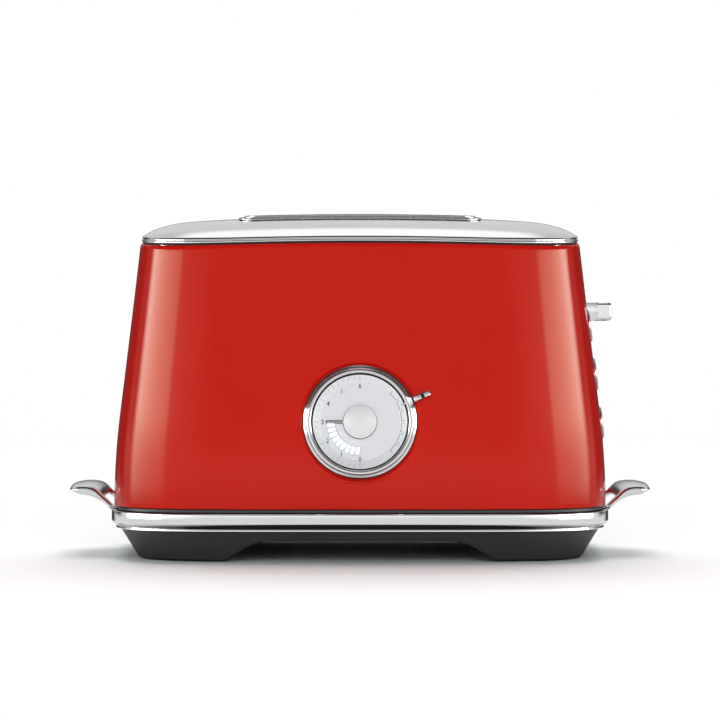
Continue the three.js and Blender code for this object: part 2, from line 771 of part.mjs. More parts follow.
function addHandles() {
  const half = handleWidth / 2;
  const straight = half - handleCorner;
  const outer = [
    ...handleMiddleShares.map((share) => share * straight),
    ...handleEndShares.map((share) => straight + share * handleCorner),
  ];
  const places = [...outer.slice(1).map((y) => -y).reverse(), ...outer];
  const rootX = bodyWidth / 2 - handleRootInset;
  const window = box(
    [rootX - cutOverrun, -handleWindow / 2, rimBottomZ - handleRise],
    [rootX + handleWindowEnd, handleWindow / 2, rimBottomZ + 2 * handleRise],
  );
  const right = cut(lofted(places.map(handleRing), false), window);
  addMesh("handle_right", right, chrome);
  addMesh("handle_left", placed(right, new THREE.Matrix4().makeRotationZ(Math.PI)), chrome);
}

function addFeet() {
  for (const [sx, sy, place] of corners) {
    const top = footProud + footRecess - seatGap;
    addMesh("foot_pad_" + place, rod(footRadius, 0, top, buttonSteps, sx * footX, sy * footY), rubber);
    const headZ = footProud + screwHeadDepth;
    const shankTop = standZ + chassisSheet + screwEnd;
    addMesh("base_screw_" + place, join(
      rod(screwHeadRadius, headZ, headZ + screwHeadHeight, smallSteps, sx * screwX, sy * screwY),
      rod(screwShankRadius, headZ, shankTop, smallSteps, sx * screwX, sy * screwY),
    ), steel);
  }
}

function addChassis() {
  for (const [side, place] of [[-1, "left"], [1, "right"]]) {
    const inner = side * endPlateX;
    const outer = side * (endPlateX + chassisSheet);
    const [x0, x1] = [Math.min(inner, outer), Math.max(inner, outer)];
    const plate = box([x0, -chassisDepth / 2, standZ], [x1, chassisDepth / 2, chassisTopZ]);
    const tabs = [-1, 1].map((end) => {
      const reach = outer + side * chassisTabReach;
      return box(
        [Math.min(inner, reach), end * screwY - chassisTab / 2, standZ],
        [Math.max(inner, reach), end * screwY + chassisTab / 2, standZ + chassisSheet],
      );
    });
    const holeTop = standZ + chassisSheet + cutOverrun;
    const holes = [-1, 1].map((end) =>
      rod(screwShankRadius + seatGap, 0, holeTop, smallSteps, side * screwX, end * screwY));
    const rackSlots = [-1, 1].map((slotSide) => {
      const y = slotSide * slotPitch / 2;
      const half = rackWidth / 2 + seatGap;
      return box(
        [x0 - cutOverrun, y - half, rackTopZ - rackLipHeight - leverTravel - rackSlotHeight],
        [x1 + cutOverrun, y + half, rackTopZ + rackSlotHeight],
      );
    });
    const parts = [plate, ...tabs];
    if (side > 0) {
      parts.push(box(
        [inner, -bracketWidth / 2, chassisTopZ - bracketThickness],
        [rodX + rodRadius + bossWall, bracketWidth / 2, chassisTopZ],
      ));
    }
    addMesh("chassis_" + place, cut(join(...parts), ...holes, ...rackSlots), steel);
  }
}

function addHeaters() {
  const half = endPlateX - seatGap;
  const top = chassisTopZ - boardTopDrop;
  const boards = [[-boardPitch, "front"], [0, "centre"], [boardPitch, "rear"]];
  for (const [y, place] of boards) {
    const sheet = boardSheet / 2;
    addMesh("heater_board_" + place, box([-half, y - sheet, boardFoot], [half, y + sheet, top]), mica);
  }
  const faces = [
    [-boardPitch, 1, "front"], [0, -1, "centre_front"],
    [0, 1, "centre_rear"], [boardPitch, -1, "rear"],
  ];
  for (const [y, side, place] of faces) {
    addMesh("heater_ribbon_" + place, heaterRibbon(y, side, half - ribbonInset, top), ribbonMetal);
  }
}

// A flat wire led to and fro over a board's face
function heaterRibbon(y, side, half, boardTop) {
  const near = y + side * (boardSheet / 2 + seatGap);
  const far = near + side * ribbonSheet;
  const [y0, y1] = [Math.min(near, far), Math.max(near, far)];
  const low = boardFoot + ribbonInset;
  const step = (boardTop - ribbonInset - ribbonHeight - low) / (ribbonRows - 1);
  const parts = [];
  for (let row = 0; row < ribbonRows; row++) {
    const z = low + row * step;
    parts.push(box([-half, y0, z], [half, y1, z + ribbonHeight]));
    const end = row % 2 ? -1 : 1;
    if (row < ribbonRows - 1) {
      const from = end > 0 ? half - ribbonHeight : -half;
      parts.push(box([from, y0, z], [from + ribbonHeight, y1, z + step + ribbonHeight]));
    }
  }
  return join(...parts);
}

function addBreadGuards() {
  for (const [slotSide, slotName] of [[-1, "front"], [1, "rear"]]) {
    for (const [side, sideName] of [[-1, "outer"], [1, "inner"]]) {
      const away = slotSide * -side;
      const y = slotSide * slotPitch / 2 + away * (guardClosedGap + guardTravel);
      addMesh("bread_guard_" + slotName + "_" + sideName, breadGuard(y), steel);
    }
  }
}

function breadGuard(y) {
  const half = endPlateX - seatGap;
  const top = chassisTopZ - guardTopDrop;
  const wire = guardWire / 2;
  const bar = (z) => box([-half, y - wire, z], [half, y + wire, z + guardWire]);
  const parts = [bar(guardFoot), bar(top - guardWire)];
  for (let i = 0; i < guardWires; i++) {
    const x = -half + guardInset + (i * 2 * (half - guardInset)) / (guardWires - 1);
    parts.push(box([x - wire, y - wire, guardFoot], [x + wire, y + wire, top]));
  }
  return join(...parts);
}

function addCarriage() {
  const top = leverZ + webTopRise;
  const footZ = rackTopZ - rackLipHeight;
  const webOuter = webX + webSheet;
  const shelfEnd = webOuter + webShelfReach;
  const neckX = sideX - bodyWall - leverNeckInside;
  const stemTop = leverZ + stemHeight / 2;
  const parts = [
    box([webX, -webWidth / 2, footZ], [webOuter, webWidth / 2, top]),
    box([webX, -webFootWidth / 2, footZ], [webOuter, webFootWidth / 2, footZ + webFootHeight]),
    box([webX, -webShelfWidth / 2, footZ], [shelfEnd, webShelfWidth / 2, footZ + webShelfThickness]),
    box([webX, -stemWidth / 2, stemTop - stemHeight], [neckX - seatGap, stemWidth / 2, stemTop]),
  ];
  const bores = [];
  for (const side of [-1, 1]) {
    const y = side * rodSpacing / 2;
    const boss = rodRadius + bossWall;
    parts.push(rod(boss, top - bossHeight, top, smallSteps, rodX, y));
    parts.push(box([webX, y - boss / 2, top - bossHeight], [rodX, y + boss / 2, top]));
    const boreLow = top - bossHeight - cutOverrun;
    bores.push(rod(rodRadius + seatGap, boreLow, top + cutOverrun, smallSteps, rodX, y));
    const rodTop = chassisTopZ - bracketThickness - seatGap;
    const place = side < 0 ? "front" : "rear";
    addMesh("guide_rod_" + place, rod(rodRadius, standZ, rodTop, smallSteps, rodX, y), steel);
  }
  addMesh("carriage_plate", cut(join(...parts), ...bores), steel);
  const armatureTop = footZ - seatGap;
  addMesh("latch_armature", box(
    [webX, -armatureWidth / 2, armatureTop - armatureThickness],
    [shelfEnd, armatureWidth / 2, armatureTop],
  ), steel);
  addElectromagnet(armatureTop - armatureThickness - leverTravel - seatGap, (webOuter + shelfEnd) / 2);
  addLiftSpring(stemTop);
  addMesh("lever_knob", leverKnob(neckX), chrome);
  for (const [side, place] of [[-1, "front"], [1, "rear"]]) {
    addMesh("bread_rack_" + place, breadRack(side * slotPitch / 2), steel);
  }
}

// A strip that carries the slice, with a lip folded down along its middle
function breadRack(y) {
  const left = -endPlateX - chassisSheet - rackEndBeyond;
  const right = webX - seatGap;
  return join(
    box([left, y - rackWidth / 2, rackTopZ - rackSheet], [right, y + rackWidth / 2, rackTopZ]),
    box([left, y - rackSheet / 2, rackTopZ - rackLipHeight], [right, y + rackSheet / 2, rackTopZ]),
  );
}

// A rounded paddle on a narrower neck that reaches in through the wall's slot
function leverKnob(neckX) {
  const headX = leverReach - leverHeadLength;
  const halfHeight = leverHeadHeight / 2;
  const round = leverHeadRound;
  const corner = (x, z, from) => Array.from({ length: 5 }, (_, i) => {
    const turn = from + (i / 4) * (Math.PI / 2);
    return [x + round * Math.cos(turn), z + round * Math.sin(turn)];
  });
  const outline = [
    [headX, -halfHeight],
    ...corner(leverReach - round, round - halfHeight, -Math.PI / 2),
    ...corner(leverReach - round, halfHeight - round, 0),
    [headX, halfHeight],
  ];
  const upright = new THREE.Matrix4().makeRotationX(Math.PI / 2).setPosition(0, 0, leverZ);
  const head = placed(prism(outline, -leverHeadWidth / 2, leverHeadWidth / 2), upright);
  const neck = box(
    [neckX, -leverNeckWidth / 2, leverZ - leverNeckHeight / 2],
    [headX + round, leverNeckWidth / 2, leverZ + leverNeckHeight / 2],
  );
  return join(head, neck);
}

// A coil on an iron core, on a foot that stands on the bottom plate
function addElectromagnet(top, x) {
  const coilTop = top - magnetCap;
  const coilZ = coilTop - magnetCoilHeight;
  const foot = magnetFootWidth / 2;
  addMesh("electromagnet", join(
    box([x - foot, -foot, standZ], [x + foot, foot, standZ + magnetCap]),
    box([x - magnetCore / 2, -magnetCore / 2, standZ], [x + magnetCore / 2, magnetCore / 2, top]),
    rod(magnetRadius, coilZ, coilTop, buttonSteps, x, 0),
  ), copper);
}

// A helix of springTurns turns between the lever's stem and the bracket over it
function addLiftSpring(stemTop) {
  const low = stemTop + seatGap + springWire;
  const high = chassisTopZ - bracketThickness - seatGap - springWire;
  const steps = springTurns * springSteps;
  const rings = [];
  for (let i = 0; i <= steps; i++) {
    const turn = (i / springSteps) * 2 * Math.PI;
    const centreZ = low + (high - low) * (i / steps);
    rings.push(Array.from({ length: springSides }, (_, k) => {
      const around = (k / springSides) * 2 * Math.PI;
      const radius = springRadius + springWire * Math.cos(around);
      return new THREE.Vector3(
        rodX + radius * Math.cos(turn),
        radius * Math.sin(turn),
        centreZ + springWire * Math.sin(around),
      );
    }));
  }
  addMesh("lift_spring", tubeOf(rings), steel);
}

// A skin over rings that stand upright, closed by fans at both ends
function tubeOf(rings) {
  const count = rings[0].length;
  const points = rings.flat();
  const faces = [];
  for (let r = 0; r + 1 < rings.length; r++) {
    for (let i = 0; i < count; i++) {
      const j = (i + 1) % count;
      const [a, b] = [r * count, (r + 1) * count];
      faces.push(a + i, a + j, b + j, a + i, b + j, b + i);
    }
  }
  const end = points.length - count;
  for (let i = 1; i + 1 < count; i++) {
    faces.push(0, i + 1, i, end, end + i, end + i + 1);
  }
  return solidOf(new THREE.BufferGeometry().setFromPoints(points).setIndex(faces));
}

function bezelTubeRadius() {
  return bezelRadius - bezelLip - seatGap - selectorWidth / 4;
}

function addDial() {
  const selectorOuter = bezelRadius - bezelLip - seatGap;
  const selectorInner = selectorOuter - selectorWidth;
  const tube = bezelTubeRadius();
  const tubeInner = selectorInner + seatGap;
  const seat = seatGap - dialPocketDepth;
  const webTop = seat + bezelWeb;
  addMesh("dial_bezel", turned([
    [tubeInner, -bezelTubeDepth], [tube, -bezelTubeDepth], [tube, seat], [bezelRadius, seat],
    [bezelRadius, bezelProud - bezelLip / 2], [bezelRadius - bezelLip / 4, bezelProud - bezelLip / 8],
    [bezelRadius - bezelLip / 2, bezelProud], [bezelRadius - bezelLip, bezelProud - bezelLip / 2],
    [bezelRadius - bezelLip, webTop], [tubeInner, webTop], [tubeInner, -bezelTubeDepth],
  ], dialSteps), chrome, dialFrame);

  addMesh("selector_ring", selectorRing(selectorInner, selectorOuter, webTop + seatGap), chrome, dialFrame);

  const chapterOuter = selectorInner - seatGap;
  const discEdge = chapterInnerRadius - seatGap;
  addMesh("dial_scale_ring", turned([
    [chapterInnerRadius, discTop - chapterSheet], [chapterOuter, discTop - chapterSheet],
    [chapterOuter, discTop + chapterRise], [chapterInnerRadius, discTop],
    [chapterInnerRadius, discTop - chapterSheet],
  ], dialSteps), dialWhite, dialFrame);
  addMesh("dial_disc", turned([
    [shaftRadius + seatGap, discTop - discSheet], [discEdge, discTop - discSheet],
    [discEdge, discTop], [shaftRadius + seatGap, discTop], [shaftRadius + seatGap, discTop - discSheet],
  ], dialSteps), dialWhite, dialFrame);

  const housingOuter = tubeInner - seatGap;
  const housingTop = discTop - Math.max(chapterSheet, discSheet) - seatGap;
  const boreRadius = encoderSize * Math.SQRT1_2 + seatGap;
  const seatStep = guideOuterRadius + seatGap;
  const flangeTop = wallBehind(dialFrame, housingFlangeRadius);
  const flangeLow = flangeTop - housingFlange;
  addMesh("dial_housing", turned([
    [boreRadius, -housingDepth], [tube + seatGap + housingWall, -housingDepth],
    [tube + seatGap + housingWall, flangeLow], [housingFlangeRadius, flangeLow],
    [housingFlangeRadius, flangeTop], [tube + seatGap, flangeTop],
    [tube + seatGap, -bezelTubeDepth - seatGap],
    [housingOuter, -bezelTubeDepth - seatGap], [housingOuter, housingTop],
    [seatStep, housingTop], [seatStep, -housingDepth + housingFloor],
    [boreRadius, -housingDepth + housingFloor], [boreRadius, -housingDepth],
  ], dialSteps), darkPlastic, dialFrame);
  addMesh("light_guide", lightGuide(housingTop), clearPlastic, dialFrame);

  addMesh("browning_knob", browningKnob(), brushedSilver, dialFrame);
  const boardTop = -housingDepth - seatGap;
  const shaftEnd = -shaftDepth;
  const encoderTop = shaftEnd + encoderHeight / 2;
  const collar = cut(
    rod(shaftRadius + encoderCollar, shaftEnd - encoderCollar, encoderTop, smallSteps),
    rod(shaftRadius + seatGap, shaftEnd - seatGap, encoderTop + cutOverrun, smallSteps),
  );
  const half = encoderSize / 2;
  const body = cut(
    box([-half, -half, boardTop + seatGap], [half, half, shaftEnd - encoderCollar / 2]),
    rod(shaftRadius + seatGap, shaftEnd - seatGap, encoderTop, smallSteps),
  );
  addMesh("browning_encoder", join(collar, body), darkPlastic, dialFrame);
  addMesh("control_board", box(
    [-controlWidth / 2, -controlHeight / 2, boardTop - circuitSheet],
    [controlWidth / 2, controlHeight / 2, boardTop],
  ), circuitGreen, dialFrame);
}

// The turning ring, its pointer that looks inwards and the arm that reaches out over the bezel
function selectorRing(inner, outer, low) {
  const top = selectorProud;
  const round = selectorWidth / 4;
  const ring = turned([
    [inner, low], [outer, low], [outer, top - round], [outer - round, top], [inner + round, top],
    [inner, top - round], [inner, low],
  ], dialSteps);
  const armLow = bezelProud + seatGap;
  const armHigh = armLow + selectorArmThickness;
  const rootRadius = inner + round;
  const neck = selectorNeckWidth / 2;
  const half = selectorArmWidth / 2;
  const arm = prism([
    [rootRadius, -neck], [outer, -neck], [bezelRadius + bezelLip / 2, -half], [selectorTipRadius, -half],
    [selectorTipRadius, half], [bezelRadius + bezelLip / 2, half], [outer, neck], [rootRadius, neck],
  ], armLow, armHigh);
  const groove = box(
    [selectorGrooveRadius - selectorGroove / 2, -selectorArmWidth, armHigh - selectorGrooveDepth],
    [selectorGrooveRadius + selectorGroove / 2, selectorArmWidth, armHigh + cutOverrun],
  );
  const pointerHigh = top - round / 2;
  const pointer = prism([
    [inner - selectorPointerReach, 0], [inner + round, -selectorPointerWidth / 2],
    [inner + round, selectorPointerWidth / 2],
  ], pointerHigh - selectorWidth / 4, pointerHigh);
  const turn = new THREE.Matrix4().makeRotationZ(selectorAngle);
  return join(ring, placed(join(cut(arm, groove), pointer), turn));
}

// A half ring behind the disc that spreads the indicator light from the foot of the scale to its top
function lightGuide(top) {
  const steps = 12;
  const arc = (radius, i) => {
    const turn = Math.PI / 2 + (Math.PI * i) / steps;
    return [radius * Math.cos(turn), radius * Math.sin(turn)];
  };
  const outline = [];
  for (let i = 0; i <= steps; i++) outline.push(arc(guideOuterRadius, i));
  for (let i = steps; i >= 0; i--) outline.push(arc(guideInnerRadius, i));
  return prism(outline, top - guideThickness, top);
}

// A domed cap on a shaft, with a flat needle that lies over the disc
function browningKnob() {
  const low = discTop + seatGap;
  const steps = 4;
  const rise = knobProud - knobEdge;
  const dome = Array.from({ length: steps }, (_, i) => {
    const turn = (Math.PI / 2) * (i / steps);
    return [knobRadius * Math.cos(turn) ** knobPower, low + knobEdge + rise * Math.sin(turn)];
  });
  const cap = turned([
    [0, -shaftDepth], [shaftRadius, -shaftDepth], [shaftRadius, low], [knobRadius, low],
    ...dome, [0, low + knobProud],
  ], 2 * smallSteps);
  const root = knobRadius / 2;
  const half = needleWidth / 2;
  const needle = box([-knobRadius - needleLength, -half, low], [-root, half, low + needleSheet]);
  return join(cap, needle);
}

function addButtons() {
  const names = ["upper", "middle", "lower"];
  const flangeTop = -ringTubeDepth - seatGap;
  buttonFrames.forEach((frame, i) => {
    const flangeLow = flangeTop - buttonFlange;
    const cap = turned([
      [0, -buttonStemDepth], [buttonStemRadius, -buttonStemDepth], [buttonStemRadius, flangeLow],
      [buttonRadius + buttonFlange, flangeLow], [buttonRadius + buttonFlange, flangeTop],
      [buttonRadius, flangeTop], [buttonRadius, buttonProud - buttonDome], [buttonRadius / 2, buttonProud],
      [0, buttonProud],
    ], buttonSteps);
    addMesh("button_cap_" + names[i], cap, chrome, frame);
    const bore = buttonRadius + seatGap;
    const seat = seatGap - dishDepth;
    const ring = turned([
      [bore, -ringTubeDepth], [bore + ringWall, -ringTubeDepth], [bore + ringWall, seat],
      [ringFlangeRadius, seat], [ringFlangeRadius, seat / 2], [(ringFlangeRadius + bore) / 2, ringProud],
      [bore, seat / 2], [bore, -ringTubeDepth],
    ], buttonSteps);
    addMesh("button_ring_" + names[i], ring, brushedSilver, frame);
  });
  addButtonBoard();
}

// A board behind the buttons with a switch under each stem and a post to the wall at each end
function addButtonBoard() {
  const frame = buttonFrames[Math.floor(buttonCount / 2)];
  const inverse = frame.clone().invert();
  const boardTop = -buttonStemDepth - switchHeight;
  const half = buttonBoardLength / 2;
  const parts = [box(
    [-buttonBoardWidth / 2, -half, boardTop - circuitSheet],
    [buttonBoardWidth / 2, half, boardTop],
  )];
  for (const other of buttonFrames) {
    const end = new THREE.Vector3(0, 0, -buttonStemDepth).applyMatrix4(other).applyMatrix4(inverse);
    const s = switchSize / 2;
    const top = end.z - buttonTravel - seatGap;
    parts.push(box([end.x - s, end.y - s, boardTop - circuitSheet], [end.x + s, end.y + s, top]));
  }
  for (const side of [-1, 1]) {
    const y = side * (half - buttonBoardPost / 2);
    const wall = wallBehind(frame, y);
    parts.push(box(
      [-buttonBoardPost / 2, y - buttonBoardPost / 2, boardTop - circuitSheet],
      [buttonBoardPost / 2, y + buttonBoardPost / 2, wall],
    ));
  }
  addMesh("button_board", join(...parts), circuitGreen, frame);
}

function addPowerBoard() {
  const half = powerBoardLength / 2;
  const face = powerBoardX + circuitSheet;
  const top = standZ + powerBoardHeight;
  const board = box([powerBoardX, -half, standZ], [face, half, top]);
  const transformer = box(
    [powerBoardX, -transformerSize - relaySize, standZ + relaySize / 2],
    [face + transformerDepth, -relaySize, standZ + relaySize / 2 + transformerSize],
  );
  const relay = box(
    [powerBoardX, relaySize / 2, top - 2 * relaySize],
    [face + relayHeight, 3 * relaySize / 2, top - relaySize],
  );
  addMesh("power_board", join(board, transformer, relay), circuitGreen);
}

// A short sleeve in the rear of the base where a mains lead would enter
function addCordGland() {
  const lean = (skirtFootInset - skirtTopInset) / skirtHeight;
  const inset = skirtTopInset + lean * (skirtTopZ - glandZ);
  const halfWidth = bodyWidth / 2 - inset;
  const halfDepth = bodyDepth / 2 - inset;
  const across = Math.abs(glandX) / halfWidth;
  const rest = (1 - across ** outlinePower) ** (1 / outlinePower);
  const wallY = halfDepth * rest;
  const sweep = (halfDepth / halfWidth) * (across / rest) ** (outlinePower - 1);
  const start = wallY - glandInside;
  const collarY = wallY + Math.hypot(lean, sweep) * (glandRadius + glandCollar) + seatGap;
  const sleeve = join(
    rod(glandRadius, start, collarY, buttonSteps),
    rod(glandRadius + glandCollar, collarY, collarY + glandCollar, buttonSteps),
  );
  const bore = rod(glandBore, start - cutOverrun, collarY + 2 * glandCollar, smallSteps);
  const lying = new THREE.Matrix4().makeRotationX(-Math.PI / 2).setPosition(glandX, 0, glandZ);
  addMesh("cord_gland", placed(cut(sleeve, bore), lying), rubber);
}

addBaseSkirt();
addBottomPlate();
addBaseBand();
addBaseRim();
addCrumbTray();
addBodyShell();
addLid();
addSlotSurrounds();
addHandles();
addFeet();
addChassis();
addHeaters();
addBreadGuards();
addCarriage();
addDial();
addButtons();
addPowerBoard();
addCordGland();

export default root;
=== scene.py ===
import bmesh
import bpy
import numpy as np
from mathutils import Matrix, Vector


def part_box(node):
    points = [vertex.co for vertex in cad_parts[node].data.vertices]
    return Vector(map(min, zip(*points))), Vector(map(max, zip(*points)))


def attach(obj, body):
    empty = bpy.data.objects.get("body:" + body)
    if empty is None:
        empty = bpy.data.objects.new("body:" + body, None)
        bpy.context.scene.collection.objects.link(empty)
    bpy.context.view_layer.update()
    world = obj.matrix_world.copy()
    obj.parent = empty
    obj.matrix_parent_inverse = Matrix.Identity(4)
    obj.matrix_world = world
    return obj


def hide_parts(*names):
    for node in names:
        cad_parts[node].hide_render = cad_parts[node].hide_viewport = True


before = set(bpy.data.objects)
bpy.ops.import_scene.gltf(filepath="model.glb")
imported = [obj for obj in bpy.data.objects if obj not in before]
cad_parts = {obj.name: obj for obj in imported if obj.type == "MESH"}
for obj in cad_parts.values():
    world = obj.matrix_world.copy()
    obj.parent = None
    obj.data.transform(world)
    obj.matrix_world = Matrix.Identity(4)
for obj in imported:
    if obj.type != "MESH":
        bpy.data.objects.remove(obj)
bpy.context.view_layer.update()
scene = bpy.context.scene

# Sizes in millimetres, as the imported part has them; a mesh is turned into metres when it is made
MM = 0.001
HALF_X, HALF_Y = 135.6, 92.0
RIM_FOOT_Z = 27.0
BODY_FOOT_Z = 29.1
SEAM_Z = 171.1
BODY_TOP_Z = 170.5
DRAFT = 0.12
FLARE = 50.0
SLOT_Y = 26.0
SLOT_HALF_X, SLOT_HALF_Y, SLOT_CORNER = 62.6, 16.0, 5.0
LEVER_Z = 135.4
LEVER_SLOT_Z, LEVER_SLOT_HALF_Y, LEVER_SLOT_HALF_Z = 111.4, 4.0, 29.9
DIAL_Z = 75.6
BUTTON_Y = -36.0
BUTTONS = {"upper": 127.35, "middle": 100.6, "lower": 73.85}
BAND_GAP_X = 68.3
CORD_X, CORD_Z = -97.0, 7.4


# The body's form

def wall_drop(z):
    """How far the wall has leaned in at a height: a parabola over FLARE, then a straight draft."""
    h = np.maximum(np.asarray(z, float) - BODY_FOOT_Z, 0)
    bent = np.minimum(h, FLARE)
    return DRAFT * (bent ** 2 / (2 * FLARE) + h - bent)


TOP_INSET = float(wall_drop(SEAM_Z))


def outline(turn, inset):
    """The rounded rectangle |x/a|^5 + |y/b|^5 = 1, with both half sizes smaller by the inset."""
    c, s = np.cos(turn), np.sin(turn)
    x = (HALF_X - inset) * np.sign(c) * np.abs(c) ** 0.4
    y = (HALF_Y - inset) * np.sign(s) * np.abs(s) ** 0.4
    return x, y


def reach_at(share):
    """The outline's reach along one axis at a share along the other, both as shares of its half sizes."""
    return (1 - np.abs(share) ** 5) ** 0.2


def seam_z(x, y):
    """The seam's height: the corners' height plus one arch across the front and one along the sides."""
    across = x / (0.87 * (HALF_X - TOP_INSET))
    along = y / (0.87 * (HALF_Y - TOP_INSET))
    return SEAM_Z + 2.473 * (1 - across ** 2) + 4.291 * (1 - along ** 2)


def dome_rise(inset):
    """The lid's rise over the seam: a steep quarter over 30 mm, and a flat crown over 80 mm."""
    steep = 1 - np.minimum(inset / 30.0, 1)
    crown = 1 - np.minimum(inset / 80.0, 1)
    return 8.6 * (1 - steep ** 2.5) ** (1 / 1.5) + 2.0 * (1 - crown ** 2)


def inset_at(x, y):
    """The inset from the seam whose outline runs through a place on the lid, found by halving."""
    low = np.zeros(np.shape(x))
    high = low + HALF_Y - TOP_INSET
    for _ in range(40):
        mid = (low + high) / 2
        across = np.abs(x) / (HALF_X - TOP_INSET - mid)
        along = np.abs(y) / (HALF_Y - TOP_INSET - mid)
        inside = (across < 1) & (np.minimum(across, 1) ** 5 + along ** 5 < 1)
        low, high = np.where(inside, mid, low), np.where(inside, high, mid)
    return low


def lid_top(x, y):
    """The lid's upper face: the seam's height plus the dome's rise."""
    return seam_z(x, y) + dome_rise(inset_at(x, y))


def even_turns(count):
    """Angles once round the outline from its rear, even in length plus 45 mm for each radian of bend."""
    turn = np.linspace(0, 2 * np.pi, 40001) + np.pi / 2
    x, y = outline(turn, 0)
    dx, dy = np.diff(x), np.diff(y)
    heading = np.unwrap(np.arctan2(dy, dx))
    bend = np.abs(np.diff(heading, prepend=heading[0]))
    run = np.concatenate([[0], np.cumsum(np.hypot(dx, dy) + 45.0 * bend)])
    even = np.interp(np.linspace(0, run[-1], count + 1)[:-1], run, turn)
    even[::count // 4] = np.pi / 2 * np.arange(1, 5)
    return even


def wall_frame(x, y, z, along_front):
    """Rows side, up, normal and place of a point on the wall, with the normal from the outline's gradient."""
    half_x, half_y = HALF_X - wall_drop(z), HALF_Y - wall_drop(z)
    if along_front:
        y = -half_y * reach_at(x / half_x)
    else:
        x = half_x * reach_at(y / half_y)
    sx, sy = x / half_x, y / half_y
    slope = DRAFT * min(max(z - BODY_FOOT_Z, 0), FLARE) / FLARE
    normal = np.array([np.sign(sx) * abs(sx) ** 4 / half_x, np.sign(sy) * abs(sy) ** 4 / half_y,
                       slope * (abs(sx) ** 5 / half_x + abs(sy) ** 5 / half_y)])
    normal /= np.linalg.norm(normal)
    side = np.cross([0, 0, 1], normal)
    side /= np.linalg.norm(side)
    return np.array([side, np.cross(normal, side), normal, [x, y, z]], float)


dial_frame = wall_frame(0, 0, DIAL_Z, True)
button_frames = {name: wall_frame(0, BUTTON_Y, z, False) for name, z in BUTTONS.items()}


def in_frame(points, placed):
    """Points of a frame, side, up and outward, as points of the toaster."""
    return points @ placed[:3] + placed[3]


# Meshes

def sheet(grid, around=False, closed=False):
    """A grid of points (rows, columns, 3) as points and four-sided faces, joined up round its columns or rows."""
    rows, columns = grid.shape[:2]
    index = np.arange(rows * columns).reshape(rows, columns)
    if around:
        index = np.concatenate([index, index[:, :1]], 1)
    if closed:
        index = np.concatenate([index, index[:1]], 0)
    a, b, c, d = index[:-1, :-1], index[:-1, 1:], index[1:, 1:], index[1:, :-1]
    return grid.reshape(-1, 3), np.stack([a, b, c, d], -1).reshape(-1, 4)


def shut(grid):
    """The grid with one more row at each end, drawn to that end's middle point, so that its ends are closed."""
    first, last = (np.repeat(end.mean(1, keepdims=True), grid.shape[1], 1) for end in (grid[:1], grid[-1:]))
    return np.concatenate([first, grid, last])


def quadratic(t, start, corner, end):
    """The curve (1 - t)^2 start + 2 t (1 - t) corner + t^2 end."""
    return (1 - t) ** 2 * start + 2 * t * (1 - t) * corner + t ** 2 * end


def rounded(corners, steps, closed=False):
    """A profile through corners (a, b, radius): each corner is a quadratic curve that starts and ends radius away."""
    corners = [np.array(c, float) for c in corners]
    out = []
    for i, corner in enumerate(corners):
        point, radius = corner[:2], corner[2]
        if radius <= 0 or (not closed and i in (0, len(corners) - 1)):
            out.append(point[None])
            continue
        sides = corners[i - 1][:2] - point, corners[(i + 1) % len(corners)][:2] - point
        start, end = (point + side / np.linalg.norm(side) * min(radius, np.linalg.norm(side) * 0.48) for side in sides)
        out.append(quadratic(np.linspace(0, 1, steps + 1)[:, None], start, point, end))
    return np.concatenate(out)


def turned(profile, placed, steps=96):
    """A profile of (radius, height) turned once round the frame's outward axis."""
    turn = np.linspace(0, 2 * np.pi, steps, endpoint=False)
    r, h = profile[:, :1], profile[:, 1:]
    return in_frame(np.stack([r * np.cos(turn), r * np.sin(turn), h + 0 * turn], -1), placed)


def catmull(points, steps):
    """A uniform Catmull-Rom curve through points, its end points doubled."""
    p = np.asarray(points, float)
    p = np.concatenate([p[:1], p, p[-1:]])
    t = np.linspace(0, len(p) - 3, steps)
    i = np.minimum(t.astype(int), len(p) - 4)
    u = (t - i)[:, None]
    a, b, c, d = p[i], p[i + 1], p[i + 2], p[i + 3]
    return 0.5 * (2 * b + (c - a) * u + (2 * a - 5 * b + 4 * c - d) * u ** 2 + (3 * b - a - 3 * c + d) * u ** 3)


def tube(path, radius, sides):
    """A round tube: a circle carried along a path in the frame of its direction, with shut ends."""
    path = np.asarray(path, float)
    ahead = np.gradient(path, axis=0)
    ahead /= np.linalg.norm(ahead, axis=1, keepdims=True)
    reference = np.array([0.0, 1.0, 0.0]) if np.abs(ahead[:, 1]).max() < 0.9 else np.array([1.0, 0.0, 0.0])
    side = np.cross(ahead, reference)
    side /= np.linalg.norm(side, axis=1, keepdims=True)
    over = np.cross(side, ahead)
    turn = np.linspace(0, 2 * np.pi, sides, endpoint=False)[None, :, None]
    grid = path[:, None] + radius * (np.cos(turn) * side[:, None] + np.sin(turn) * over[:, None])
    return shut(grid)


def rounded_rect(half_a, half_b, radius, steps=6):
    """A closed outline of a rectangle whose corners are quarter circles, anticlockwise from its right side."""
    radius = min(radius, half_a, half_b)
    turn = np.concatenate([np.linspace(q, q + 1, steps + 1) for q in range(4)]) * np.pi / 2
    a_side = np.repeat([1, -1, -1, 1], steps + 1)
    b_side = np.repeat([1, 1, -1, -1], steps + 1)
    a = a_side * (half_a - radius) + radius * np.cos(turn)
    b = b_side * (half_b - radius) + radius * np.sin(turn)
    return np.stack([a, b], 1)


def onto_slot(a, b, half_a, half_b, corner):
    """Points round a middle, drawn out from it onto a rectangle with round corners; their largest a and b are 1."""
    halves = np.array([[half_a], [half_b]])
    drawn = np.stack([a, b]) / np.maximum(np.abs(a), np.abs(b)) * halves
    over = np.abs(drawn) - (halves - corner)
    bent = np.sign(drawn) * (halves - corner + over * (corner / np.maximum(np.hypot(*over), 1e-9)))
    return np.where((over > 0).all(0), bent, drawn)


